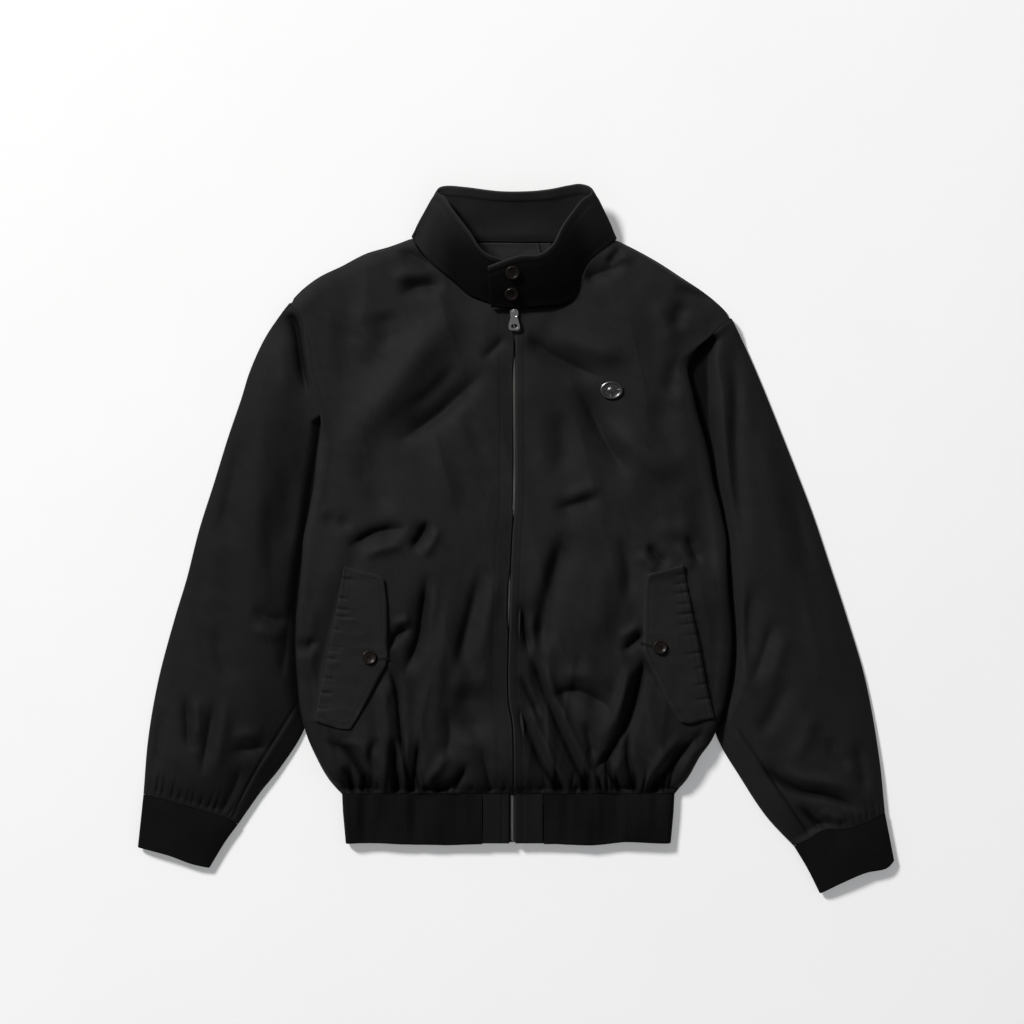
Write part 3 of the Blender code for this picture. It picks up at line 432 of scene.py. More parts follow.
def ribLook(name, spec):
    # knitted rib: the ribs are modelled, and each carries a column of small slanted stitches
    look = Look(name)
    u, v = look.mapXY()
    place = look.objectPlace()
    stitchTurns = 2 * math.pi / (spec["stitch"] * mm)
    slant = ((u * (2 * math.pi / (spec["pitch"] * mm))).wave() * 1.4 + v * stitchTurns).wave()
    grain = look.noise(place, 1500.0, 3.0, 0.65)
    cloud = look.noise(place, 22.0, 3.0, 0.6)
    tone = (grain * 0.9 + cloud * 0.7 - 0.45 + slant * 0.2).held()
    colour = look.mixColour(tone, rgba(spec["dark"]), rgba(spec["pale"]))
    return look.finish(**{"Base Color": colour, "Roughness": (0.78 + grain * 0.16).held(),
                          "Specular IOR Level": spec["specular"], "Sheen Weight": spec["sheen"],
                          "Sheen Roughness": 0.55, "Sheen Tint": rgba(0.45),
                          "Normal": look.bump(slant * 0.6 + grain * 1.3, 0.5, 0.12 * mm)})


def tapeLook(name):
    # zip tape: a herringbone whose lines turn over in the middle
    look = Look(name)
    u, v = look.mapXY()
    lines = (((u * 420.0).wave().size() * 3.0 + v * (2 * math.pi / (1.1 * mm))).wave())
    grain = look.noise(look.objectPlace(), 1500.0, 2.0, 0.6)
    colour = look.mixColour((lines * 0.3 + grain * 0.6).held(), rgba(0.004), rgba(0.012))
    return look.finish(**{"Base Color": colour, "Roughness": (0.7 + grain * 0.2).held(), "Sheen Weight": 0.1,
                          "Specular IOR Level": 0.3, "Normal": look.bump(lines + grain, 0.4, 0.15 * mm)})


def threadLook(name, grey, rough):
    # twisted sewing thread
    look = Look(name)
    place = look.objectPlace()
    twist = look.noise(place, 2600.0, 2.0, 0.5)
    colour = look.mixColour(twist, rgba(grey * 0.5), rgba(grey * 1.3))
    return look.finish(**{"Base Color": colour, "Roughness": (rough + (twist - 0.5) * 0.2).held(),
                          "Specular IOR Level": 0.15, "Normal": look.bump(twist, 0.4, 0.08 * mm)})


def hornLook(name):
    # polished horn: near black with brown streaks
    look = Look(name)
    place = look.objectPlace()
    streak = look.noise(look.stretched(place, (160.0, 620.0, 300.0)), 1.0, 4.0, 0.6)
    colour = look.ramp(streak, [(0.3, (0.004, 0.0025, 0.002)), (0.62, (0.011, 0.006, 0.0042)),
                                (0.85, (0.032, 0.014, 0.008))])
    fine = look.noise(place, 1400.0, 2.0, 0.5)
    return look.finish(**{"Base Color": colour, "Roughness": (0.3 + fine * 0.14).held(), "Coat Weight": 0.05,
                          "Specular IOR Level": 0.25, "Normal": look.bump(fine, 0.12, 0.05 * mm)})


def metalLook(name, grey, rough):
    # polished nickel with fine rubbing marks, duller in patches
    look = Look(name)
    place = look.objectPlace()
    rub = look.noise(look.stretched(place, (2600.0, 300.0, 900.0)), 1.0, 3.0, 0.6)
    patch = look.noise(place, 260.0, 3.0, 0.55)
    colour = look.mixColour(patch, rgba(grey * 0.82, (1.0, 0.99, 0.97)), rgba(grey, (1.0, 0.995, 0.985)))
    return look.finish(**{"Base Color": colour, "Metallic": 1.0, "Roughness": (rough + rub * 0.1 + patch * 0.06).held(),
                          "Normal": look.bump(rub, 0.08, 0.03 * mm)})


def floorLook(spec):
    look = Look("pale floor")
    mottle = look.noise(look.objectPlace(), 6.0, 5.0, 0.6)
    pale = rgba(1.0, spec["floorColour"])
    colour = look.mixColour((mottle * 0.5).held(), pale, rgba(0.93, spec["floorColour"]))
    return look.finish(**{"Base Color": colour, "Roughness": 0.85, "Specular IOR Level": 0.2,
                          "Emission Color": rgba(1.0, spec["floorColour"]), "Emission Strength": spec["floorGlow"],
                          "Normal": look.bump(mottle, 0.1, 1.0 * mm)})


# deep is the near-black colour painted into creases and shaded places as painted shade
looks = {
    "cotton": clothLook("black cotton twill", {
        "twill": 0.85, "lean": (0.8, 0.6), "dark": 0.0056, "pale": 0.0198, "tint": (1.0, 1.0, 1.01), "rough": 0.7,
        "specular": 0.1, "sheen": 0.02, "sheenRough": 0.4, "sheenTint": 0.5, "wear": 0.5, "deep": 0.0008, "bump": 0.42,
        "depth": 0.1}),
    "lining": clothLook("collar lining cloth", {
        "twill": 0.7, "lean": (0.7, 0.7), "dark": 0.011, "pale": 0.03, "tint": (1.0, 1.0, 1.01), "rough": 0.7,
        "specular": 0.14, "sheen": 0.02, "sheenRough": 0.45, "sheenTint": 0.55, "wear": 0.4, "deep": 0.002, "bump": 0.4,
        "depth": 0.1}),
    "patch": clothLook("satin patch", {
        "twill": 0.5, "lean": (1.0, 0.0), "dark": 0.006, "pale": 0.02, "tint": (1.0, 1.0, 1.0), "rough": 0.42,
        "specular": 0.3, "sheen": 0.04, "sheenRough": 0.3, "sheenTint": 0.6, "wear": 0.3, "deep": 0.002, "bump": 0.25,
        "depth": 0.06}),
    "placket": clothLook("placket twill", {
        "twill": 0.85, "lean": (0.8, 0.6), "dark": 0.0025, "pale": 0.0095, "tint": (1.0, 1.0, 1.01), "rough": 0.74,
        "specular": 0.1, "sheen": 0.02, "sheenRough": 0.4, "sheenTint": 0.5, "wear": 0.4, "deep": 0.0008, "bump": 0.42,
        "depth": 0.1}),
    "rib": ribLook("black rib knit", {"pitch": 2.3, "stitch": 1.6, "dark": 0.0012, "pale": 0.0095, "specular": 0.08,
                                      "sheen": 0.01}),
    "tape": tapeLook("zip tape"),
    "thread": threadLook("black sewing thread", 0.005, 0.65),
    "horn": hornLook("dark horn"),
    "steel": metalLook("polished nickel", 0.74, 0.1),
    "badge": metalLook("dark chrome", 0.16, 0.22),
    "teeth": metalLook("zip teeth nickel", 0.4, 0.3),
}
floorMade = putMesh("floor", np.array([[-1, -1, 0], [1, -1, 0], [1, 1, 0], [-1, 1, 0]]) * studio["floorWide"] / 2 * mm,
                    np.array([[0, 1, 2, 3]]), floorLook(studio), smooth=False)
print("studio and finishes ready")

# ---- the body's plan and height: tables in mm, +x to the wearer's left, +y to the collar

body = {
    "zipLine": [(-2, 253), (-2, 130), (-2.6, 32), (-5, 8), (-8, -70), (-9.4, -176), (-5, -203), (-4, -333)],
    "neckRight": [(-6, 253), (-20, 254.5), (-35, 259), (-51, 266), (-67, 280), (-90, 299), (-104, 313), (-114, 329)],
    "neckLeft": [(2, 253), (25, 253.5), (55, 257), (69, 267), (74, 288), (82, 303), (97, 317), (110, 327)],
    "shoulderRight": [(-114, 329), (-138, 320), (-165, 312), (-192, 298), (-215, 287), (-233, 274), (-248, 259)],
    "shoulderLeft": [(110, 327), (134, 315), (157, 302), (183, 285), (207, 269), (225, 254), (236, 242)],
    "sideRight": [(-248, 259), (-235, 241), (-232, 218), (-228, 188), (-221, 158), (-214, 132), (-217, 100),
                  (-224, 50), (-232, 0), (-240, -67), (-241, -122), (-238, -166), (-231, -210), (-215, -248),
                  (-200, -271), (-192, -279)],
    "sideLeft": [(236, 242), (224, 233), (213, 222), (197, 207), (190, 189), (195, 161), (201, 132), (208, 106),
                 (217, 65), (226, 27), (232, -20), (235, -67), (237, -111), (234, -153), (229, -178), (216, -218),
                 (202, -239), (189, -262), (175, -279)],
    "backNeck": [(-106, 328.5), (-80, 328), (-40, 327.4), (0, 327), (40, 327), (80, 327), (102, 327.4)],
    "splitRight": 132, "splitLeft": 222,       # where the armhole seam goes under the body's side
    "hemSeam": -279, "zipTop": 253,
    # how far each front's edge lies from the middle of the zip, down the jacket
    "edgeRight": [(-400, 0.5), (-104, 0.5), (-86, -1.7), (-48, -1.7), (-32, 0.4), (16, 0.5), (38, -1.7), (186, -1.7),
                  (204, -0.2), (226, -0.8), (238, -3.2), (260, -3.2)],
    "edgeLeft": [(-400, 1.5), (-104, 1.5), (-86, 1.8), (-48, 1.8), (-32, 1.4), (16, 1.4), (38, 1.8), (186, 1.8),
                 (204, 1.4), (226, 1.6), (238, 3.2), (260, 3.2)],
    "crownMiddle": [(330, 13), (250, 20), (150, 21), (50, 21), (-50, 23), (-150, 28), (-226, 31), (-258, 28),
                    (-272, 21), (-280, 12.4)],
    "crownSide": [(330, 12), (250, 13), (150, 16), (50, 18), (-50, 19), (-150, 20), (-226, 21), (-258, 20),
                  (-272, 16), (-280, 12.2)],
    "shoulderEdge": 6, "shoulderRoll": 16, "sideRoll": 12, "armholeRoll": 1.4, "tuck": 6.6,
    "zipRoll": 1.3, "bodyOverSleeve": 5, "stripReach": 24, "backCloth": 1.4, "troughGain": 1.8, "ridgeGain": 1.25,
    "backHold": 42, "backFade": 26,
}
bodyLines = {key: curveThrough(body[key]) for key in
             ("neckRight", "neckLeft", "shoulderRight", "shoulderLeft", "sideRight", "sideLeft", "backNeck")}
bodyLines["zip"] = curveThrough(body["zipLine"])

bodyFolds = [
    # chest, wearer's right
    fold(9.0, 22, (-52, 262), (-96, 214), (-150, 146), (-200, 80), fade=(0.3, 0.4)),
    fold(-7.5, 13, (-30, 188), (-62, 157), (-88, 134), (-136, 102), sharp=1.3, lean=-0.25),
    fold(-1.6, 8, (-60, 196), (-92, 160), (-122, 138)),
    fold(-5.0, 10, (-134, 266), (-106, 276), (-76, 279), sharp=1.4, lean=0.2, fade=(0.45, 0.3)),
    fold(3.2, 8, (-138, 286), (-112, 289), (-88, 287)),
    fold(-3.0, 7, (-132, 318), (-108, 308), (-84, 292), sharp=1.3),
    fold(-2.6, 13, (-146, 252), (-139, 224), (-132, 208)),
    fold(2.2, 12, (-176, 262), (-168, 226), (-160, 190)),
    fold(-2.0, 16, (-190, 250), (-184, 200), (-178, 160)),
    fold(-2.6, 6, (-10, 224), (-22, 210), (-40, 194), sharp=1.3),
    fold(-1.7, 9, (-58, 156), (-46, 120), (-30, 76)),
    fold(1.8, 10, (-96, 108), (-78, 60), (-60, 24)),
    fold(-1.8, 12, (-176, 96), (-150, 52), (-140, 20)),
    fold(1.6, 14, (-204, 40), (-190, -10), (-206, -60)),
    # chest, wearer's left
    fold(-4.8, 9, (10, 224), (34, 205), (58, 192), (104, 172), sharp=1.3, lean=-0.2, fade=(0.2, 0.4)),
    fold(5.0, 13, (30, 232), (78, 210), (132, 198)),
    fold(-6.0, 12, (60, 176), (80, 146), (96, 112), (126, 62), sharp=1.4, lean=0.2),
    fold(6.5, 17, (92, 130), (134, 96), (184, 64)),
    fold(-3.6, 11, (96, 47), (70, 40), (38, 30), sharp=1.4, lean=0.25),
    fold(2.4, 8, (98, 58), (74, 52), (48, 42)),
    fold(-4.2, 8, (74, 284), (94, 292), (124, 301), sharp=1.3, lean=0.2, fade=(0.2, 0.5)),
    fold(2.8, 7, (92, 304), (112, 310), (134, 308)),
    fold(-3.0, 5, (98, 300), (108, 310), (118, 321)),
    fold(-3.4, 7, (172, 277), (198, 269), (224, 262), sharp=1.3),
    fold(-2.4, 9, (186, 262), (178, 244), (176, 226)),
    fold(2.4, 10, (156, 268), (162, 238), (176, 206)),
    fold(-2.4, 10, (184, 206), (172, 180), (168, 150)),
    fold(3.0, 8, (202, 214), (192, 200), (182, 180), sharp=1.6),
    fold(-1.8, 13, (150, 160), (166, 120), (178, 84)),
    fold(1.6, 12, (20, 150), (30, 100), (26, 56)),
    fold(-1.6, 10, (46, 144), (52, 104), (48, 66)),
    fold(-2.0, 12, (196, 60), (206, 10), (212, -50)),
    # above and beside the pocket, wearer's right
    fold(-5.2, 7.5, (-188, -12), (-172, -2), (-152, 8), (-116, 13), sharp=1.2, lean=-0.25),
    fold(3.6, 7, (-170, -18), (-144, -9), (-118, -4)),
    fold(-5.2, 5.5, (-95, 22), (-103, 6), (-116, -14), sharp=1.2),
    fold(2.6, 6, (-84, 16), (-92, -4), (-104, -22)),
    fold(-1.8, 8, (-212, 30), (-196, 16), (-176, 20)),
    fold(-5.8, 8, (-96, -34), (-102, -78), (-108, -114), (-125, -152), sharp=1.2, lean=0.25, fade=(0.3, 0.25)),
    fold(3.4, 8, (-88, -40), (-93, -86), (-98, -126), (-112, -160)),
    fold(-4.2, 4.5, (-143, -124), (-130, -105), (-112, -97), sharp=1.2),
    fold(2.6, 5, (-136, -96), (-124, -90), (-112, -88)),
    fold(-3.4, 3.6, (-140, -136), (-131, -166), (-126, -216), (-116, -277), sharp=1.2, lean=0.35, fade=(0.15, 0)),
    fold(3.0, 7, (-150, -150), (-141, -190), (-140, -240), (-140, -276), fade=(0.2, 0)),
    fold(-6.2, 5.5, (-134, -212), (-133, -240), (-131, -277), sharp=1.3, fade=(0.4, 0)),
    fold(-4.0, 3.6, (-105, -214), (-109, -246), (-114, -277), sharp=1.2, fade=(0.35, 0)),
    fold(3.2, 4.5, (-119, -206), (-121, -240), (-123, -277), fade=(0.4, 0)),
    fold(-4.2, 5, (-52, -240), (-62, -262), (-96, -284), sharp=1.3, fade=(0.3, 0)),
    fold(3.0, 6, (-74, -226), (-84, -250), (-104, -274), fade=(0.4, 0)),
    fold(-5.0, 16, (-53, -154), (-50, -190), (-48, -226)),
    fold(-3.6, 8, (-36, -24), (-46, -70), (-58, -116), (-68, -158), lean=0.2),
    fold(2.6, 8, (-20, -30), (-30, -84), (-38, -140)),
    fold(2.8, 10, (-74, -60), (-82, -120), (-88, -190), (-84, -236)),
    fold(-3.0, 5, (-38, -226), (-31, -256), (-28, -277), sharp=1.3, fade=(0.4, 0)),
    fold(-3.2, 8, (-76, -180), (-72, -214), (-78, -246), sharp=1.4),
    fold(-5.2, 6, (-212, -220), (-186, -231), (-170, -252), (-160, -278), sharp=1.2, lean=0.2, fade=(0.35, 0)),
    fold(3.0, 6, (-196, -222), (-172, -226), (-156, -246)),
    fold(-3.6, 5, (-190, -246), (-182, -262), (-178, -278), sharp=1.3, fade=(0.4, 0)),
    fold(-2.8, 6, (-216, -108), (-228, -118), (-238, -130)),
    fold(2.2, 8, (-222, -60), (-224, -110), (-226, -160)),
    fold(-2.6, 5, (-152, -214), (-158, -240), (-150, -262)),
    # beside and below the pocket, wearer's left
    fold(-5.8, 12, (58, 16), (46, -24), (34, -70), (24, -126), lean=0.2, fade=(0.3, 0.2)),
    fold(3.2, 16, (98, -10), (92, -60), (86, -120)),
    fold(-4.4, 5.5, (6, -66), (9, -96), (14, -132), sharp=1.3),
    fold(2.6, 5, (18, -76), (19, -104), (22, -130)),
    fold(-4.4, 4, (18, -128), (35, -177), (60, -236), (80, -277), sharp=1.1, lean=-0.3, fade=(0.15, 0)),
    fold(3.4, 5, (30, -134), (46, -178), (70, -232), (90, -276), fade=(0.2, 0)),
    fold(-3.4, 4, (3, -146), (14, -170), (28, -198), sharp=1.2),
    fold(-3.8, 4.5, (2, -180), (14, -212), (28, -246), (46, -274), sharp=1.2, fade=(0.25, 0)),
    fold(2.8, 5, (14, -176), (28, -214), (44, -250), (60, -276), fade=(0.25, 0)),
    fold(-5.2, 8, (34, -176), (64, -166), (110, -188), sharp=1.4, lean=-0.2),
    fold(3.0, 8, (44, -150), (76, -148), (112, -164)),
    fold(-6.4, 5.5, (141, -128), (129, -176), (106, -228), (84, -256), sharp=1.2, lean=0.25, fade=(0.15, 0.2)),
    fold(3.8, 7, (128, -132), (113, -182), (92, -226), fade=(0.2, 0.3)),
    fold(-4.4, 4, (98, -230), (103, -258), (118, -278), sharp=1.2, fade=(0.4, 0)),
    fold(-4.4, 4.5, (150, -279), (168, -250), (202, -212), sharp=1.2, lean=-0.2, fade=(0, 0.35)),
    fold(3.2, 6, (138, -276), (156, -244), (186, -208), fade=(0, 0.4)),
    fold(-3.6, 4.5, (126, -200), (122, -236), (130, -278), sharp=1.3, fade=(0.4, 0)),
    fold(-3.0, 5, (74, -196), (82, -224), (84, -246)),
    fold(-3.8, 5.5, (143, -4), (153, -18), (168, -30), sharp=1.3),
    fold(2.8, 6, (134, -12), (146, -26), (156, -38)),
    fold(-3.2, 5.5, (186, 6), (194, -12), (202, -30), sharp=1.3),
    fold(2.4, 6, (176, -2), (184, -16), (196, -36)),
    fold(-4.2, 4, (114, -124), (128, -114), (144, -100), sharp=1.2),
    fold(2.4, 5, (112, -110), (126, -100), (138, -92)),
    fold(-2.6, 8, (112, 8), (124, -30), (122, -74)),
    fold(2.2, 10, (150, 20), (172, 10), (198, 22)),
    fold(-2.4, 7, (196, -206), (204, -222), (206, -240)),
]

hemGathers = {
    "count": 62, "from": -188, "to": 172, "calm": (-66, 34), "wide": (1.9, 3.6), "deep": (1.2, 3.0),
    "long": (10, 46), "slant": 0.35,
}


def gatherFolds(spec):  # short troughs that run up from the hem seam, closer and deeper away from the zip
    made = []
    for place in np.linspace(spec["from"], spec["to"], spec["count"]):
        x = place + rng.uniform(-2.4, 2.4)
        wide, deep = rng.uniform(*spec["wide"]), rng.uniform(*spec["deep"])
        tall, slant = rng.uniform(*spec["long"]), rng.uniform(-1, 1) * spec["slant"]
        if spec["calm"][0] < x < spec["calm"][1]:
            deep, tall = deep * 0.35, tall * 0.5
        made.append(fold(-deep, wide, (x, body["hemSeam"] - 1), (x + slant * tall * 0.5, body["hemSeam"] + tall * 0.5),
                         (x + slant * tall, body["hemSeam"] + tall), sharp=1.4, fade=(0, 0.8)))
    return made


bodyFolds += gatherFolds(hemGathers)

flaps = {
    "flap_right": {
        "sewn": [(-188, -30), (-196, -75), (-205, -120), (-213, -160), (-220, -199)],
        "free": [(-150, -39), (-144, -44), (-141, -70), (-140, -128), (-142, -138), (-173, -195), (-181, -208)],
        "top": [(-188, -30), (-150, -39)], "bottom": [(-220, -199), (-194, -207), (-181, -208)],
        "puckers": [-43, -64, -76, -84, -98, -117, -121, -130, -151, -167, -184], "liftTop": 0.3, "liftTip": 0.8,
    },
    "flap_left": {
        "sewn": [(183, -28), (188, -56), (193, -82), (200, -112), (208, -159), (217, -195)],
        "free": [(144, -38), (140, -56), (139, -106), (138, -122), (154, -154), (170, -185), (180, -200)],
        "top": [(183, -28), (144, -38)], "bottom": [(217, -195), (202, -198), (191, -202), (180, -200)],
        "puckers": [-38, -48, -58, -70, -81, -92, -104, -124, -140, -158, -174], "liftTop": 2.6, "liftTip": 0.6,
    },
}
flapSize = {"thick": 2.2, "rise": 1.0, "edge": 1.1, "calm": 9.0, "puckerDeep": 1.1, "puckerLong": 19,
            "stitchIn": 5.5, "corner": 5.0}
for flap in flaps.values():
    flap["lines"] = {key: cornerLine(flap[key], flapSize["corner"]) for key in ("sewn", "free", "top", "bottom")}
    flap["outline"] = cornerLine(flap["top"] + flap["free"] + flap["bottom"][::-1] + flap["sewn"][::-1], 3.0)[::8]

stitchGrooves = [  # shallow pulled lines where the fronts are topstitched
    fold(-0.3, 1.2, (8.6, 250), (8.4, 30), (6.2, 8), (3.2, -70), (1.6, -176), (6, -203), (7, -279), fade=(0, 0)),
    fold(-0.3, 1.2, (-18, 250), (-18, 30), (-21, 8), (-24, -70), (-25.4, -176), (-21, -203), (-20, -279), fade=(0, 0)),
    fold(-0.4, 1.3, (-240, 250), (-226, 218), (-221, 188), (-213, 158), (-206, 134), fade=(0, 0.2)),
]


def sideX(side, y):
    return xAt(bodyLines["sideRight" if side < 0 else "sideLeft"], y)


def splitY(side):
    return body["splitRight" if side < 0 else "splitLeft"] * mm


def rollWidth(side, y):  # narrow at the armhole seam, wide below the split
    below = smoothStep((splitY(side) - 2 * mm - y) / (26 * mm))
    return (body["armholeRoll"] + (body["sideRoll"] - body["armholeRoll"]) * below) * mm


def underHeight(x, y):  # the back's lower skin: level, raised where it lies on the sleeves
    total = np.zeros(x.shape)
    for side in (-1, 1):
        inward = (sideX(side, y) - x) * side
        over = 1 - smoothStep((inward - (body["stripReach"] + 6) * mm) / (26 * mm))
        top = smoothStep((splitY(side) + 26 * mm - y) / (24 * mm))
        foot = smoothStep((y + 243 * mm) / (26 * mm))
        total = np.maximum(total, body["bodyOverSleeve"] * mm * over * top * foot)
    return total


def flapCalm(x, y):  # 1 under a pocket flap, 0 away from it
    total = np.zeros(x.shape)
    for flap in flaps.values():
        low, high = flap["outline"].min(0) - 0.02, flap["outline"].max(0) + 0.02
        near = (x > low[0]) & (x < high[0]) & (y > low[1]) & (y < high[1])
        if near.any():
            inside = insideOutline(x[near], y[near], flap["outline"])
            total[near] = np.maximum(total[near], smoothStep(0.5 + inside / (flapSize["calm"] * mm)))
    return total


def ripple(x, y, seed):  # long soft waves down the cloth, finer ones on them, and small creases where waves meet
    return (softNoise(x / 0.055, y / 0.12, seed) * 2.2 + softNoise(x / 0.026, y / 0.06, seed + 1) * 1.1
            + softNoise((x + y) / 0.012, (y - x) / 0.026, seed + 2) * 0.34
            - np.abs(softNoise(x / 0.04 + y / 0.16, y / 0.1, seed + 3)) * 2.0) * mm


def lowerRipple(x, y):  # the lower half is fuller: narrow waves that grow towards the hem
    grow = smoothStep((20 * mm - y) / (190 * mm))
    bend = x + softNoise(x / 0.07, y / 0.05, 17) * 9 * mm
    return ((softNoise(bend / 0.013, y / 0.07, 18) * 1.5 - np.abs(softNoise(bend / 0.022, y / 0.09, 19)) * 2.8)
            * grow * mm)


def bodyHeight(x, y, fine=True):
    # crown across the body, less at the shoulder's roll, plus creases that fade at the sides, hem and flaps
    middle, side = tableCurve(body["crownMiddle"], y), tableCurve(body["crownSide"], y)
    left, right = sideX(-1, y), sideX(1, y)
    across = np.abs((x - (left + right) / 2) / ((right - left) / 2))
    height = side + (middle - side) * (1 - np.clip(across, 0, 1) ** 2.6)
    creases = foldField(x, y, bodyFolds, body["troughGain"] / body["ridgeGain"]) * body["ridgeGain"]
    creases = creases + ripple(x, y, 11) * 1.3 + lowerRipple(x, y)
    if fine:
        creases = creases * (1 - 0.9 * flapCalm(x, y))
    hemFade = smoothStep((y - body["hemSeam"] * mm) / (7 * mm) + 0.1)
    height = height + creases * hemFade * smoothStep((1.02 - across) / 0.1)
    height = height + foldField(x, y, stitchGrooves)
    for line in ("shoulderRight", "shoulderLeft"):
        near = np.clip(nearLine(x, y, bodyLines[line][::4])[0] / (body["shoulderRoll"] * mm), 0, 1)
        height = body["shoulderEdge"] * mm + (height - body["shoulderEdge"] * mm) * np.sqrt(1 - (1 - near) ** 2)
    return height


def frontEdge(side, y):  # x of a front's edge beside the zip
    rows = np.array(body["edgeRight" if side < 0 else "edgeLeft"]) * mm
    return xAt(bodyLines["zip"], y) + np.interp(y, rows[:, 0], rows[:, 1])


def paintedCreaseShade(x, y, rows):  # how much shade is painted: 0 on open cloth, towards 1 in the troughs that are deep for their width
    deep = [dict(row, high=-min(1.0, (row["high"] / row["wide"]) ** 2 * 1.5)) for row in rows if row["high"] < 0]
    return np.clip(-foldField(x, y, deep), 0, 1) ** 1.3 * 0.94

# ---- fronts and back

frontGrid = {"neckShare": 0.42, "nearZip": 14, "across": 138, "down": 230, "nearHem": 84, "hemShare": 0.84}


def makeFront(side):
    # edge roll at the zip, the front itself, its rolled side and the strip turned under
    neck = bodyLines["neckRight" if side < 0 else "neckLeft"]
    shoulder = bodyLines["shoulderRight" if side < 0 else "shoulderLeft"]
    sideLine = bodyLines["sideRight" if side < 0 else "sideLeft"]
    share = frontGrid["neckShare"]
    u = np.concatenate([np.linspace(0, 0.07, frontGrid["nearZip"], endpoint=False),
                        np.linspace(0.07, 1, frontGrid["across"])])
    v = np.concatenate([np.linspace(0, frontGrid["hemShare"], frontGrid["down"], endpoint=False),
                        np.linspace(frontGrid["hemShare"], 1, frontGrid["nearHem"])])
    hemY, zipTop = body["hemSeam"] * mm, body["zipTop"] * mm

    def top(t):
        first = alongLine(neck, np.clip(t / share, 0, 1))
        points = np.where((t <= share)[:, None], first, alongLine(shoulder, np.clip((t - share) / (1 - share), 0, 1)))
        points[:, 0] += (frontEdge(side, points[:1, 1])[0] - points[0, 0]) * (1 - smoothStep(t / 0.15))
        points[:, 0] -= side * rollWidth(side, points[-1:, 1])[0] * smoothStep((t - 0.8) / 0.2)
        return points

    def centre(t):
        y = zipTop + (hemY - zipTop) * t
        return np.stack([frontEdge(side, y), y], axis=-1)

    def edge(t):
        points = alongLine(sideLine, t)
        points[:, 0] -= side * rollWidth(side, points[:, 1])
        return points

    def bottom(t):
        first, last = centre(np.ones(1))[0, 0], edge(np.ones(1))[0, 0]
        return np.stack([first + (last - first) * t, np.full(t.shape, hemY)], axis=-1)

    plan = coonsPatch(u, v, top, bottom, centre, edge)
    x, y = plan[..., 0], plan[..., 1]
    z = bodyHeight(x, y)
    flat = stack(x, y, z)

    radius = body["zipRoll"] * mm                      # the cloth turned back at the zip
    angles = np.radians([-30, 0, 30, 60])[None]
    hinge = stack(x[:, :1], y[:, :1], z[:, :1] - radius)
    zipEdge = hinge + stack(side * radius * (1 - np.cos(angles)), 0 * angles, radius * np.sin(angles))
    flat[..., 0] += side * radius * np.exp(-((x - x[:, :1]) * side / (4 * mm)))

    startX, rowY, startZ = x[:, -1:], y[:, -1:], z[:, -1:]
    wide = rollWidth(side, rowY)
    full = smoothStep((wide / mm - body["armholeRoll"]) / (body["sideRoll"] - body["armholeRoll"]))
    rise = (startZ - underHeight(startX, rowY)) / 2 * full + 1.3 * mm * (1 - full)
    turn = np.radians([72, 56, 40, 24, 8, -8, -24, -42, -62, -90])[None]
    bump = 1 + 0.12 * softNoise(rowY / 0.03, 0 * rowY, 31)
    roll = stack(startX + side * wide * bump * np.cos(turn), rowY, startZ - rise + rise * np.sin(turn))
    tuck = stack(startX - side * np.array([2.2, 4.4, body["tuck"]])[None] * mm, rowY, startZ - 2 * rise)
    points = np.concatenate([zipEdge, flat, roll, tuck], axis=1)

    # the top edge turns down to the back at the shoulder, and the hem edge turns in to its seam
    cols = points.shape[1]
    first, second = points[0], points[1]
    inward = (second - first) * np.array([1, 1, 0])
    inward /= np.linalg.norm(inward, axis=1, keepdims=True) + 1e-9
    lowZ = np.minimum(1.0 * mm, first[:, 2] - 1 * mm)
    shoulderPart = np.concatenate([np.zeros(4), smoothStep((u - share) / 0.05), np.ones(cols - 4 - len(u))])
    drops = [(1.0, 1.8), (0.75, 0.7), (0.5, 0.25), (0.25, 0.05)]
    above = [np.concatenate([(first + inward * back * mm)[:, :2],
                             (first[:, 2] + (lowZ - first[:, 2]) * (0.25 + 0.75 * shoulderPart) * down)[:, None]],
                            axis=1)
             for down, back in drops]
    last = points[-1]
    below = [last + np.array([0, dy, dz]) * mm for dy, dz in ((-0.5, -0.5), (-0.7, -1.4), (-0.3, -2.4))]
    points = np.concatenate([np.array(above), points, np.array(below)])

    run = np.cumsum(np.linalg.norm(np.diff(points, axis=1, prepend=points[:, :1]), axis=2), axis=1)
    uv = np.stack([run * side, np.broadcast_to(points[..., 1], run.shape)], axis=-1)
    # painted shade: the colour darkens in deep creases (not under the flaps) and towards the hem; the zip edge is paler
    # from wear
    depth = paintedCreaseShade(points[..., 0], points[..., 1], bodyFolds) * (1 - flapCalm(points[..., 0], points[..., 1]))
    wear = -np.maximum(depth, 0.3 * smoothStep((10 * mm - points[..., 1]) / (120 * mm)))
    wear[:, :6] += np.array([0.2, 0.4, 0.6, 0.8, 0.5, 0.2])
    made = putGrid("frontRight" if side < 0 else "frontLeft", points, looks["cotton"], uv, wear, turn=side < 0)
    finishPiece(made, ["front_right" if side < 0 else "front_left"])
    declareSheet(322, 620, 0.78)
    return made


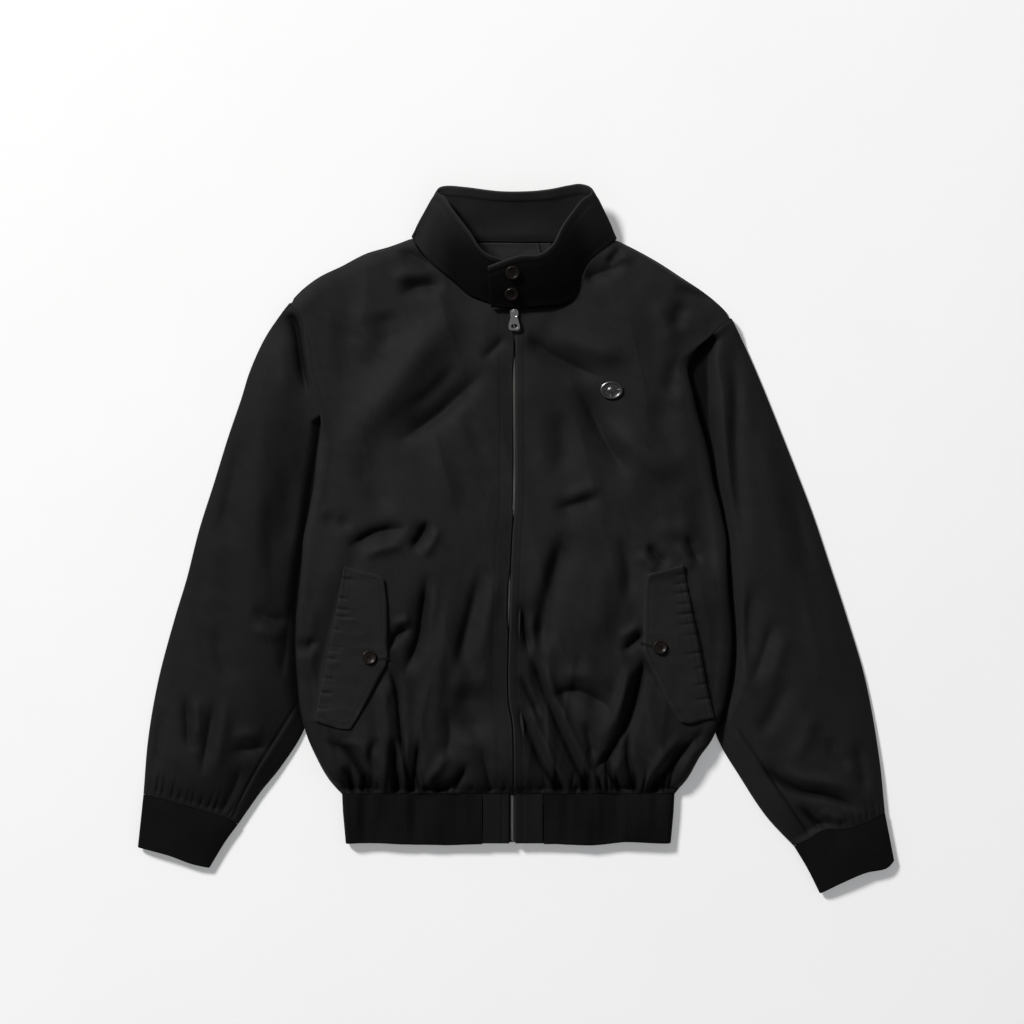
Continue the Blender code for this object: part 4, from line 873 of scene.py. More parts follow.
def makeBack():
    # the back panel, flat on the surface and raised at each side where it lies on a sleeve
    u, v = np.linspace(0, 1, 90), np.linspace(0, 1, 110)

    def edge(side):
        def run(t):
            points = alongLine(bodyLines["sideRight" if side < 0 else "sideLeft"], t)
            below = smoothStep((splitY(side) - body["backHold"] * mm - points[:, 1]) / (body["backFade"] * mm))
            points[:, 0] -= side * (1.4 + (body["sideRoll"] + body["tuck"] - 1.6) * below) * mm
            return points
        return run

    over = np.concatenate([bodyLines["shoulderRight"][::-1], bodyLines["backNeck"], bodyLines["shoulderLeft"]])

    def top(t):
        points = alongLine(over, t)
        points[:, 1] += 1.6 * mm
        points[0], points[-1] = edge(-1)(np.zeros(1))[0], edge(1)(np.zeros(1))[0]
        return points

    def bottom(t):
        first, last = edge(-1)(np.ones(1))[0, 0], edge(1)(np.ones(1))[0, 0]
        return np.stack([first + (last - first) * t, np.full(t.shape, body["hemSeam"] * mm)], axis=-1)

    plan = coonsPatch(u, v, top, bottom, edge(-1), edge(1))
    x, y = plan[..., 0], plan[..., 1]
    creases = (softNoise(x / 0.05, y / 0.09, 51) * 0.5 + 0.5) * 1.0 * mm * smoothStep((0.32 - np.abs(y)) / 0.04)
    points = stack(x, y, underHeight(x, y) + body["backCloth"] * mm + creases)
    made = putGrid("backPanel", points, looks["cotton"], points[..., :2], turn=True)
    finishPiece(made, ["back"])
    declareSheet(486, 612, 0.9)


makeFront(-1)
makeFront(1)
makeBack()
print("fronts and back made")

# ---- sleeves

sleeveRight = {
    "outer": [(-248.8, 259), (-269, 232), (-280, 213), (-293, 183), (-302, 154), (-316, 113), (-333, 58), (-348, 11),
              (-362, -44), (-375, -87), (-393, -155), (-404, -219), (-409, -280)],
    "inner": [(-193, 108), (-202, 50), (-209, 0), (-217, -60), (-219, -120), (-222, -170), (-233.5, -211),
              (-258, -250), (-279, -276), (-294, -297), (-305, -313)],
    "armhole": [(-193, 108), (-204, 121), (-214, 131.5), (-222, 158), (-229, 188), (-233.1, 218), (-236.4, 241),
                (-248.8, 259)],
    "cuffSeam": [(-305, -313), (-315, -307), (-341, -298), (-373, -289), (-409, -280)],
    "folds": [
        fold(-6.0, 7, (-246, 250), (-240, 226), (-236, 196), (-229, 152), sharp=1.3, lean=0.2, fade=(0.08, 0.4)),
        fold(2.6, 10, (-258, 236), (-256, 196), (-248, 150)),
        fold(-2.6, 12, (-248, 96), (-250, 40), (-257, -26)),
        fold(3.0, 15, (-276, 190), (-282, 110), (-284, 30), (-286, -60)),
        fold(-2.2, 12, (-304, 130), (-312, 60), (-318, -20)),
        fold(2.0, 14, (-322, 40), (-334, -40), (-344, -110)),
        fold(-2.0, 10, (-266, 60), (-268, 0), (-262, -60)),
        fold(-3.0, 7, (-291, -76), (-266, -88), (-244, -86), sharp=1.4),
        fold(2.2, 7, (-290, -96), (-268, -104), (-250, -104)),
        fold(-3.2, 7, (-246, -66), (-252, -120), (-258, -160), sharp=1.4),
        fold(-2.0, 8, (-330, -90), (-322, -130), (-306, -160)),
        fold(-3.6, 5, (-362, -168), (-360, -204), (-357, -224), (-344, -231), sharp=1.3),
        fold(2.8, 6, (-350, -170), (-348, -206), (-350, -226)),
        fold(-3.8, 6, (-330, -172), (-336, -212), (-345, -262), sharp=1.3, lean=0.2),
        fold(3.0, 8, (-318, -170), (-322, -214), (-330, -262)),
        fold(-3.6, 7, (-316, -231), (-294, -231), (-268, -226), sharp=1.3),
        fold(2.4, 7, (-312, -216), (-290, -214), (-272, -212)),
        fold(-2.6, 6, (-388, -180), (-392, -214), (-396, -262)),
        fold(-3.0, 7, (-300, -244), (-306, -266), (-318, -292), sharp=1.4, fade=(0.4, 0)),
        fold(-1.1, 1.5, (-237, -176), (-262, -216), (-290, -262), (-312, -306), fade=(0.1, 0)),
        fold(0.8, 3.5, (-233, -180), (-258, -220), (-286, -266), (-308, -310), fade=(0.1, 0)),
    ],
    # tone: how much darker this sleeve's colour is painted, as painted shade
    "gathers": [0.07, 0.13, 0.2, 0.27, 0.34, 0.42, 0.5, 0.56, 0.63, 0.71, 0.8, 0.87, 0.94], "seed": 3, "tone": 0.42,
    "pocket": [(-200, 0.6), (0, 1), (60, 1.5), (134, 2)],
}
sleeveLeft = {
    "outer": [(236.8, 242), (253, 209), (270, 170), (289, 123), (308, 75), (327, 25), (346, -32), (364, -87),
              (384, -155), (399, -240), (405, -300)],
    "inner": [(178, 160), (186, 110), (198, 55), (207, 0), (211, -60), (213, -120), (210, -170), (220.5, -217),
              (247, -263), (275, -305), (305, -337)],
    "armhole": [(178, 160), (184, 182), (196, 204), (212.5, 221), (225, 233), (236.8, 242)],
    "cuffSeam": [(305, -337), (320, -329), (339, -318), (359, -318), (383, -311), (405, -300)],
    "folds": [
        fold(-9.0, 8.5, (214, 234), (209, 212), (204, 184), (205, 150), (213, 108), (221, 62),
             sharp=2.0, fade=(0.08, 0.5)),
        fold(2.4, 3.0, (203, 200), (199, 176), (204, 146), fade=(0.2, 0.3)),
        fold(-3.2, 8, (234, 214), (241, 160), (240, 110), (243, 60), (254, -26), fade=(0.2, 0.4)),
        fold(2.8, 10, (226, 200), (228, 150), (230, 90), (236, 30)),
        fold(3.0, 16, (262, 150), (278, 80), (292, 0), (306, -80)),
        fold(-2.0, 13, (290, 70), (310, 10), (326, -60)),
        fold(2.0, 14, (330, -40), (350, -110), (364, -180)),
        fold(-3.4, 9, (262, -40), (256, -90), (254, -150), lean=0.2),
        fold(-3.4, 7, (284, -84), (272, -122), (258, -162), sharp=1.4),
        fold(2.4, 8, (296, -96), (286, -134), (272, -170)),
        fold(-2.6, 9, (300, -150), (282, -190), (262, -222)),
        fold(2.4, 9, (330, -180), (316, -220), (300, -250)),
        fold(-5.4, 6, (266, -244), (288, -264), (314, -277), (346, -283), (386, -301), sharp=1.2, lean=0.25,
             fade=(0.2, 0.3)),
        fold(3.6, 7, (284, -248), (312, -262), (346, -268), (376, -280)),
        fold(-4.2, 5, (308, -288), (324, -306), (334, -314), (350, -321), sharp=1.2),
        fold(2.6, 6, (330, -296), (346, -304), (364, -308)),
        fold(-2.6, 7, (372, -216), (378, -250), (386, -286)),
        fold(-2.2, 8, (340, -214), (352, -236), (372, -252)),
        fold(-1.1, 1.5, (240, -203), (262, -236), (290, -278), (322, -326), fade=(0.1, 0)),
        fold(0.8, 3.5, (236, -208), (258, -242), (286, -284), (317, -331), fade=(0.1, 0)),
    ],
    # tone: how much darker this sleeve's colour is painted, as painted shade
    "gathers": [0.06, 0.13, 0.21, 0.3, 0.39, 0.47, 0.55, 0.61, 0.68, 0.75, 0.82, 0.9, 0.95], "seed": 5, "tone": 0.16,
    "pocket": [(-200, 0.6), (0, 1), (60, 3), (110, 6.5), (150, 14), (186, 20), (206, 14), (222, 3)],
}
sleeveShape = {
    "arch": [(0, 15), (150, 16), (500, 18), (720, 21), (900, 22.5), (960, 19.5), (1000, 13.2)],   # along * 1000
    "edge": [(0, 3.0), (150, 2.2), (500, 2.2), (720, 2.6), (900, 4.5), (1000, 6.2)],
    "round": 0.62, "strip": 4.3, "capRise": 2.4, "capEarly": 3,
               "allowanceWide": 5.0, "allowanceDrop": 2.2, "top": 118, "under": 40, "rows": 270,
    "troughGain": 1.4, "gatherWide": 0.012, "gatherDeep": (0.9, 2.4), "gatherLong": (0.03, 0.1),
}


def makeSleeve(name, side, table):
    # a tube pressed flat: v runs from armhole to cuff, u across, and the strip by the body stays low
    lines = {key: curveThrough(table[key]) for key in ("outer", "inner", "armhole", "cuffSeam")}
    shape = sleeveShape
    topU = (1 - np.cos(np.linspace(0, math.pi, shape["top"]))) / 2 * 0.8 + np.linspace(0, 1, shape["top"]) * 0.2
    underU = (1 - np.cos(np.linspace(0, math.pi, shape["under"]))) / 2
    v = np.concatenate([np.linspace(0, 0.8, shape["rows"] * 2 // 3, endpoint=False),
                        np.linspace(0.8, 1, shape["rows"] // 3)])

    def skin(u):  # plan, shares, edge height and crown of one skin, inner edge to outer edge
        plan = coonsPatch(u, v, lambda t: alongLine(lines["armhole"], t), lambda t: alongLine(lines["cuffSeam"], t),
                          lambda t: alongLine(lines["inner"], t), lambda t: alongLine(lines["outer"], t))
        across, along = np.meshgrid(u, v)
        return (plan[..., 0], plan[..., 1], across, along, tableCurve(shape["edge"], along),
                tableCurve(shape["arch"], along))

    x, y, u, v2, edge, arch = skin(topU)
    open = np.clip(np.sin(np.pi * u), 0, 1)
    own = edge + (arch - edge) * open ** shape["round"]
    creases = foldField(x, y, table["folds"], shape["troughGain"]) + ripple(x, y, 70 + table["seed"])
    draws = np.random.default_rng(table["seed"])
    for place in table["gathers"]:
        wide = shape["gatherWide"] * draws.uniform(0.8, 1.5)
        deep, tall = draws.uniform(*shape["gatherDeep"]) * mm, draws.uniform(*shape["gatherLong"])
        lean = draws.uniform(-0.25, 0.25)
        reach = smoothStep((v2 - 1 + tall) / tall)
        creases -= (deep * np.exp(-((u - place - lean * (1 - v2)) / wide) ** 2) * reach
                    * (1 - 0.7 * smoothStep((v2 - 0.985) / 0.015)))
    own = own + creases * np.clip(open / 0.35, 0, 1) * smoothStep((1.003 - v2) / 0.02)
    seam = np.maximum(bodyHeight(x, y), edge)
    nearSeam = (1 - smoothStep(v2 / 0.07)) * (open > 1e-6)
    own = own + (seam - own) * nearSeam + creases * smoothStep(v2 / 0.02) * nearSeam
    outward = (x - sideX(side, y)) * side
    cap = (shape["strip"] * mm + np.clip((outward - tableCurve(table["pocket"], y)) * 0.9, 0, None)
           + np.clip((y - splitY(side) + shape["capEarly"] * mm) * shape["capRise"], 0, None)
           + np.clip(-212 * mm - y, 0, None))
    top = np.maximum(lowerOf(own, cap + np.minimum(creases, 0) * 0.5, 2.4 * mm), edge)
    top = np.where(open < 1e-6, edge, top)

    xu, yu, uUnder, vUnder, edgeUnder, _ = (part[:, -2:0:-1] for part in skin(underU))
    lift = 1 - np.clip(np.sin(np.arccos(np.clip(1 - 2 * uUnder, -1, 1))) / 0.45, 0, 1) ** 0.7
    points = np.concatenate([stack(x, y, top), stack(xu, yu, edgeUnder * lift)], axis=1)
    # the seam allowance, under the front's edge
    allowance = points[0] - np.array([shape["allowanceWide"] * side, 0, shape["allowanceDrop"]]) * mm
    points = np.concatenate([allowance[None], points])
    v = np.concatenate([[-0.01], v])

    points = np.concatenate([points, points[:, :1]], axis=1)       # the underarm seam closes the tube
    run = np.cumsum(np.linalg.norm(np.diff(points, axis=1, prepend=points[:, :1]), axis=2), axis=1)
    down = np.broadcast_to((v * 0.6)[:, None], run.shape)
    wear = np.zeros(run.shape)
    # painted shade: deep creases, the low strip beside the body's side below the split, and the whole sleeve by its
    # tone
    depth = paintedCreaseShade(x, y, table["folds"]) * np.clip(open / 0.3, 0, 1)
    shade = 1 - smoothStep((outward - tableCurve(table["pocket"], y) + 3 * mm) / (7 * mm))
    depth = np.maximum(depth, 0.96 * shade * smoothStep((splitY(side) - y) / (4 * mm)))
    wear[1:, :len(topU)] = -np.maximum(depth, table["tone"] * smoothStep(v2 / 0.2))
    made = putGrid(name, points, looks["cotton"], np.stack([run, -down], axis=-1), wear, turn=side < 0)
    finishPiece(made, [nodeName(name)])
    declareSheet(356, 640, 0.84)
    return made


makeSleeve("sleeveRight", -1, sleeveRight)
makeSleeve("sleeveLeft", 1, sleeveLeft)
print("sleeves made")

# ---- rib cuffs, hem band and the woven tabs at the zip

cuffs = {
    "cuffRight": {
        "top": [(-305.4, -313.4), (-315.1, -307.4), (-341.1, -298.4), (-373.1, -289.4), (-409, -280.4)],
        "bottom": [(-336, -360), (-356, -355), (-380, -346), (-415, -337)],
        "inner": [(-305.4, -313.4), (-319, -332), (-336, -360)], "outer": [(-409, -280.4), (-415, -337)]},
    "cuffLeft": {
        "top": [(305.3, -337.4), (320.2, -329.4), (339.1, -318.4), (359, -318.4), (383.1, -311.4), (405, -300.4)],
        "bottom": [(333, -388), (357, -376), (383, -365), (406, -360), (415, -352)],
        "inner": [(305.3, -337.4), (320, -362), (333, -388)], "outer": [(405, -300.4), (415, -352)]},
}
ribSize = {"cuffHeight": 13, "bandHeight": 13, "pitch": 2.3, "deep": 0.42, "perRib": 6, "cuffRows": 26,
           "bandRows": 26, "roll": 1.4, "wave": 0.9}


def ribProfile(turns):  # rounded ribs with narrow gaps
    return np.abs(np.cos(turns * math.pi)) ** 0.7


def makeCuff(name, side, table):
    lines = {key: curveThrough(table[key]) for key in table}
    ribs = 48
    count = ribs * ribSize["perRib"]
    high = ribSize["cuffHeight"] * mm
    top = (1 - np.cos(np.linspace(0, math.pi, count + 1))) / 2 * 0.35 + np.linspace(0, 1, count + 1) * 0.65
    around = np.concatenate([top, top[::-1][1:-1]])
    v = np.linspace(0, 1, ribSize["cuffRows"])
    plan = coonsPatch(top, v, lambda t: alongLine(lines["top"], t), lambda t: alongLine(lines["bottom"], t),
                      lambda t: alongLine(lines["inner"], t), lambda t: alongLine(lines["outer"], t))
    plan = np.concatenate([plan, plan[:, ::-1][:, 1:-1]], axis=1)
    isTop = (np.arange(len(around)) <= count)[None]
    rounded = np.clip(np.sin(np.pi * around), 0, 1)[None] ** 0.35 * high / 2
    wave = softNoise(plan[..., 0] / 0.03, plan[..., 1] / 0.05, 41) * ribSize["wave"] * mm * rounded / (high / 2)
    z = np.where(isTop, high / 2 + rounded + wave, high / 2 - rounded)
    points = stack(plan[..., 0], plan[..., 1], z)
    across = np.roll(points, -1, axis=1) - np.roll(points, 1, axis=1)
    normal = np.cross(across, np.gradient(points, axis=0)) * -side
    normal /= np.linalg.norm(normal, axis=-1, keepdims=True) + 1e-12
    girth = np.arange(len(around)) / ribSize["perRib"]
    deep = ribSize["deep"] * mm * (1 - 0.5 * smoothStep((v - 0.93) / 0.07))[:, None]
    points = points + normal * ((ribProfile(girth)[None] - 1) * deep)[..., None]
    # the bottom edge rolls in to the cuff's inner layer
    down = lines["bottom"].mean(0) - lines["top"].mean(0)
    down = np.append(down / np.linalg.norm(down), 0.0)
    radius = ribSize["roll"] * mm
    rolls = [points[-1] - normal[-1] * radius * (1 - math.cos(a)) + down * radius * math.sin(a)
             for a in np.radians([35, 70, 110, 150])]
    inner = [rolls[-1] - down * step * mm for step in (2, 6, 12)]
    points = np.concatenate([points, np.array(rolls + inner)])
    run = np.cumsum(np.linalg.norm(np.diff(points, axis=1, prepend=points[:, :1]), axis=2), axis=1)
    fall = np.concatenate([v * 0.055, 0.055 + np.arange(1, 8) * mm])[:, None]
    uv = np.stack([np.broadcast_to(girth[None] * ribSize["pitch"] * mm, run.shape),
                   np.broadcast_to(fall, run.shape)], axis=-1)
    made = putGrid(name, points, looks["rib"], uv, wraps=True, turn=side < 0)
    finishPiece(made, [nodeName(name)])
    declareSheet(226, 68, 0.98)
    return made


makeCuff("cuffRight", -1, cuffs["cuffRight"])
makeCuff("cuffLeft", 1, cuffs["cuffLeft"])

band = {"sideRight": [(-279.4, -191), (-300, -190), (-333, -187)],
        "sideLeft": [(-279.4, 174), (-300, 173), (-333, 170)],
        "tabRight": (-37.0, -7.2), "tabLeft": (-0.8, 30.0), "top": -279.4, "bottom": -333, "seam": 0.35,
        "pucker": 2.6, "edgeWave": 2.0}


def makeBand():
    # one strip from tab to tab: over the front, round each side, across the back
    radius = ribSize["bandHeight"] / 2 * mm
    start, end = (band["tabRight"][0] - band["seam"]) * mm, (band["tabLeft"][1] + band["seam"]) * mm
    y = np.linspace(band["top"], band["bottom"], ribSize["bandRows"]) * mm
    right, left = (np.interp(-y / mm, [-row[0] for row in band[key]], [row[1] for row in band[key]]) * mm
                   for key in ("sideRight", "sideLeft"))
    high = ribSize["bandHeight"] * mm
    turn = np.linspace(90, -90, 15)
    lines = []
    for k in range(len(y)):
        hingeR, hingeL = right[k] + radius, left[k] - radius
        path = [(start, high), (hingeR, high)]
        path += [(hingeR - radius * math.cos(a), radius + radius * math.sin(a)) for a in np.radians(turn[1:])]
        path += [(hingeL, 0.0)]
        path += [(hingeL + radius * math.cos(a), radius + radius * math.sin(a)) for a in np.radians(turn[::-1][1:])]
        path += [(end, high)]
        lines.append(np.array(path))
    total = lineLength(lines[0])[-1]
    ribs = int(round(total / (ribSize["pitch"] * mm)))
    share = np.linspace(0, 1, ribs * ribSize["perRib"] + 1)
    section = np.array([alongLine(line, share) for line in lines])
    onTop = smoothStep((section[..., 1] - radius) / (radius * 0.7))
    x = section[..., 0]
    yy = np.broadcast_to(y[:, None], x.shape)
    fall = (yy - y[0]) / (y[-1] - y[0])
    puckers = (softNoise(x / 0.011, yy / 0.07, 43) + 0.6 * softNoise(x / 0.03, yy / 0.05, 44)) * band["pucker"] * mm
    z = section[..., 1] + puckers * onTop * (0.35 + 0.65 * np.sin(np.pi * np.clip(fall, 0, 1)) ** 0.5)
    edgeY = yy + fall ** 3 * softNoise(x / 0.04, 0 * x + 3, 45) * band["edgeWave"] * mm
    points = stack(x, edgeY, np.maximum(z, 0.0))
    normal = gridNormals(points)
    girth = share * ribs
    deep = ribSize["deep"] * mm * (1 - 0.5 * smoothStep((fall - 0.93) / 0.07))
    outwardZ = section[..., 1] - radius
    normal = normal * np.sign((normal[..., 2] * outwardZ + normal[..., 0] * (x - (start + end) / 2) * 0.02))[..., None]
    points = points + normal * ((ribProfile(girth)[None] - 1) * deep)[..., None]
    points[..., 2] = np.maximum(points[..., 2], 0.0)
    rolls = []
    for a in np.radians([35, 70, 110, 150]):
        row = points[-1] - normal[-1] * ribSize["roll"] * mm * (1 - math.cos(a))
        rolls.append(row + np.array([0, -1, 0]) * ribSize["roll"] * mm * math.sin(a))
    inner = [rolls[-1] + np.array([0, step * mm, 0]) for step in (2, 6, 12)]
    points = np.concatenate([points, np.array(rolls + inner)])
    down = np.concatenate([fall[:, 0] * 0.054, 0.054 + np.arange(1, 8) * mm])[:, None]
    uv = np.stack(np.broadcast_arrays((girth * ribSize["pitch"] * mm)[None], down), axis=-1)
    made = putGrid("hemRib", points, looks["rib"], uv, turn=True)
    finishPiece(made, ["hem_rib"])
    declareSheet(700, 68, 0.98)
    return made


makeBand()


def tabHeight(x, y):  # the woven tabs lie level with the band, slightly puckered
    return (13.3 * mm + softNoise(x / 0.009, y / 0.03, 47) * 0.35 * mm
            + foldField(x, y, [fold(-0.5, 1.4, (-15, -282), (-15, -333), fade=(0, 0)),
                               fold(-0.5, 1.4, (8, -282), (8, -333), fade=(0, 0))]))


def makeTab(name, ends):
    # a doubled strip with turned edges
    inset = np.array([0.0, 0.12, 0.4, 0.9, 1.5])
    x = np.concatenate([ends[0] + inset, np.linspace(ends[0] + 2.5, ends[1] - 2.5, 22), ends[1] - inset[::-1]]) * mm
    y = np.concatenate([np.linspace(-279.4, -331, 34), -333.6 + inset[::-1]]) * mm
    x2, y2 = np.meshgrid(x, y)
    far = np.minimum(np.minimum(x2 - ends[0] * mm, ends[1] * mm - x2), y2 + 333.6 * mm) / mm
    radius = 1.5
    drop = (radius - np.sqrt(np.maximum(radius ** 2 - np.clip(radius - far, 0, radius) ** 2, 0))) * mm
    top = tabHeight(x2, y2) - drop
    points = stack(x2, y2, top)
    skirt = points.copy()
    skirt[..., 2] -= 1.4 * mm
    points = np.concatenate([skirt[:, :1], points, skirt[:, -1:]], axis=1)
    under = points[-1:].copy()
    under[..., 2] -= 1.2 * mm
    points = np.concatenate([points, under])
    made = putGrid(name, points, looks["placket"], points[..., :2], np.zeros(points.shape[:2]))
    finishPiece(made, [nodeName(name)])
    declareSheet(abs(ends[1] - ends[0]) + 3, 58, 1.0)
    return made


makeTab("hemTabRight", band["tabRight"])
makeTab("hemTabLeft", band["tabLeft"])
print("cuffs, band and tabs made")

# ---- stand-up collar

collar = {
    # where each section leaves the neck seam, its lift above the front there, its rim and the rim's height
    "sections": [
        ((18, 254.2), 0.0, (20, 301), 41), ((-6, 254.2), 0.0, (-8, 303), 42),
        ((-20, 255.7), 0.0, (-31, 310), 44), ((-34.6, 260.2), 0.0, (-41, 318), 45),
        ((-50.5, 267.2), 0.0, (-49, 331), 45), ((-66.3, 281), 0.0, (-60, 346), 43), ((-89.2, 300), 0.0, (-71, 361), 40),
        ((-102.6, 313.6), 1.0, (-78, 373), 36), ((-111.6, 327.2), 0.2, (-84, 376.5), 32.5),
        ((-114.4, 331.6), 0.4, (-86.5, 380), 30.5), ((-110.5, 336), -2.0, (-84, 384), 29),
        ((-98, 333), -5.0, (-75, 386), 28.5), ((-80, 329), -9.5, (-55, 384.5), 30),
        ((-40, 328.4), -10.4, (-18, 380), 31),
        ((0, 328), -10.4, (14, 380), 31), ((40, 328), -10.4, (38, 382.5), 31), ((80, 328), -9.5, (58, 386.5), 30),
        ((94, 332), -5.0, (70, 388), 29), ((106.5, 334.5), -2.0, (80.5, 385), 30), ((110.4, 330), 0.4, (84, 380.5), 32),
        ((107, 326), 0.2, (81.5, 376), 35), ((96, 318), 1.0, (73, 370), 39), ((81, 304), 0.2, (62, 356), 43),
        ((73, 289), 0.2, (51, 340), 47), ((68, 268), 1.2, (41, 321), 50), ((54.3, 258), 3.0, (27, 309.5), 51.5),
        ((25, 253.8), 6.4, (5, 307.5), 52), ((0, 252.6), 7.2, (-12, 302.5), 51.5),
        ((-26, 252.8), 7.6, (-29.5, 296), 50),
    ],
    "roll": 1.35, "perSpan": 22, "up": 30, "bulge": 1.6, "dent": 1.0, "dip": 0.5, "stitchDown": 8.0,
    "stitchInside": 10.0, "footLong": 5, "frontShade": 0.97,
}


def collarFrame(spec):
    # base and rim lines of the collar, its rise between them, and the direction out of the neck
    base = np.array([row[0] for row in spec["sections"]], float)
    baseZ = np.maximum(bodyHeight(base[:, 0] * mm, base[:, 1] * mm) / mm + [row[1] for row in spec["sections"]], 1.9)
    rows = np.column_stack([base, baseZ, [row[2] for row in spec["sections"]], [row[3] for row in spec["sections"]]])
    line = curveThrough(rows, spec["perSpan"])
    foot, rim = line[:, :3], line[:, 3:]
    rim = rim - (rim - foot) / np.linalg.norm(rim - foot, axis=1, keepdims=True) * spec["roll"] * mm
    v = np.linspace(0, 1, spec["up"])
    points = foot[None] + (rim - foot)[None] * v[:, None, None]
    normal = np.cross(np.gradient(points, axis=1), np.gradient(points, axis=0))
    for turn in range(40):
        padded = np.concatenate([normal[:, :1], normal, normal[:, -1:]], axis=1)
        normal = (padded[:, :-2] + 2 * padded[:, 1:-1] + padded[:, 2:]) / 4
    normal /= np.linalg.norm(normal, axis=-1, keepdims=True)
    if normal[0, 20, 1] > 0:
        normal = -normal
    run = lineLength(line[:, :3])[None]
    high = np.linalg.norm(rim - foot, axis=1)[None] * v[:, None]
    dents = softNoise(run / 0.035 + 0 * high, high / 0.03, 61) * spec["dent"]
    swell = np.sin(np.pi * v)[:, None] * spec["bulge"] + dents
    swell = swell * smoothStep(v / 0.25)[:, None] * smoothStep((1.08 - v) / 0.3)[:, None]
    swell = swell - spec["dip"] * np.exp(-((high - high[-1:] + spec["stitchDown"] * mm) / (1.6 * mm)) ** 2)
    points = points + normal * (swell * mm)[..., None]
    return points, normal, np.broadcast_to(run, high.shape), high


collarPoints, collarNormal, collarRun, collarHigh = collarFrame(collar)


def roundedEnds(points, normal, radius, inward):
    # close both ends with a quarter roll from one face towards the middle of the cloth
    out = []
    for at, near in ((0, 1), (-1, -2)):
        away = points[:, at] - points[:, near]
        away /= np.linalg.norm(away, axis=1, keepdims=True)
        out.append([points[:, at] + away * radius * math.sin(a) + normal[:, at] * inward * radius * (1 - math.cos(a))
                    for a in np.radians([30, 60, 90])])
    return np.concatenate([np.stack(out[0][::-1], axis=1), points, np.stack(out[1], axis=1)], axis=1)


def makeCollar():
    radius = collar["roll"] * mm
    up = collarPoints[-1] - collarPoints[-2]
    up /= np.linalg.norm(up, axis=1, keepdims=True)
    rimNormal = collarNormal[-1]
    centre = collarPoints[-1] - rimNormal * radius

    def rollRows(angles):
        return np.array([centre + rimNormal * radius * math.cos(a) + up * radius * math.sin(a)
                         for a in np.radians(angles)])

    foot = collarPoints[:1] - collarNormal[:1] * 0.5 * mm - np.array([0, 0, collar["footLong"] * mm])
    foot[..., 2] = np.maximum(foot[..., 2], 0.6 * mm)  # the seam allowance, down between the layers
    outer = np.concatenate([foot, collarPoints, rollRows([22, 45, 67, 90])])
    inner = np.concatenate([rollRows([90, 113, 135, 158]), (collarPoints - collarNormal * 2 * radius)[::-1]])
    rimRows = np.repeat(rimNormal[None], 4, 0)
    for name, points, normal, inward, look in (
            ("collarOuter", outer, np.concatenate([collarNormal[:1], collarNormal, rimRows]), -1, "cotton"),
            ("collarInner", inner, np.concatenate([rimRows, collarNormal[::-1]]), 1, "lining")):
        closed = roundedEnds(points, normal, radius, inward)
        run = np.cumsum(np.linalg.norm(np.diff(closed, axis=1, prepend=closed[:, :1]), axis=2), axis=1)
        rise = np.cumsum(np.linalg.norm(np.diff(closed, axis=0, prepend=closed[:1]), axis=2), axis=0)
        wear = np.zeros(run.shape)
        rows = slice(-7, None) if inward < 0 else slice(0, 6)
        wear[rows] = np.array([0.1, 0.3, 0.6, 0.9, 1.0, 1.0, 0.9])[:, None][::-inward][:closed[rows].shape[0]]
        if inward < 0:                                 # the front of the collar lies in its own shade
            x, y = closed[..., 0] / mm, closed[..., 1] / mm
            front = smoothStep((368 - y) / 60) * smoothStep((x + 104) / 40) * smoothStep((96 - x) / 36)
            wear -= front * collar["frontShade"] * (1 - np.clip(wear, 0, 1))
        made = putGrid(name, closed, looks[look], np.stack([run, rise], axis=-1), wear)
        finishPiece(made, [nodeName(name)])
        declareSheet(560, 64, 0.92)


makeCollar()

# ---- neck patch and hanger loop

neckPatch = {"x": (-45, 40), "y": (325.5, 299), "z": 2.6, "sag": 0.5}


def makePatch(spec):
    inset = np.array([0.0, 0.15, 0.45, 1.0])
    x = np.concatenate([spec["x"][0] + inset, np.linspace(spec["x"][0] + 2, spec["x"][1] - 2, 40),
                        spec["x"][1] - inset[::-1]]) * mm
    y = np.concatenate([spec["y"][0] - inset, np.linspace(spec["y"][0] - 2, spec["y"][1] + 2, 18),
                        spec["y"][1] + inset[::-1]]) * mm
    x2, y2 = np.meshgrid(x, y)
    far = np.minimum(np.minimum(x2 - x[0], x[-1] - x2), np.minimum(y[0] - y2, y2 - y[-1])) / mm
    z = spec["z"] + 0.45 * smoothStep(far / 0.8) + softNoise(x2 / 0.02, y2 / 0.01, 71) * spec["sag"]
    points = stack(x2, y2, z * mm)
    made = putGrid("neckPatch", points, looks["patch"], points[..., :2], np.exp(-(far / 1.2) ** 2))
    finishPiece(made, ["neck_patch"])
    declareSheet(85, 26.5)


makePatch(neckPatch)


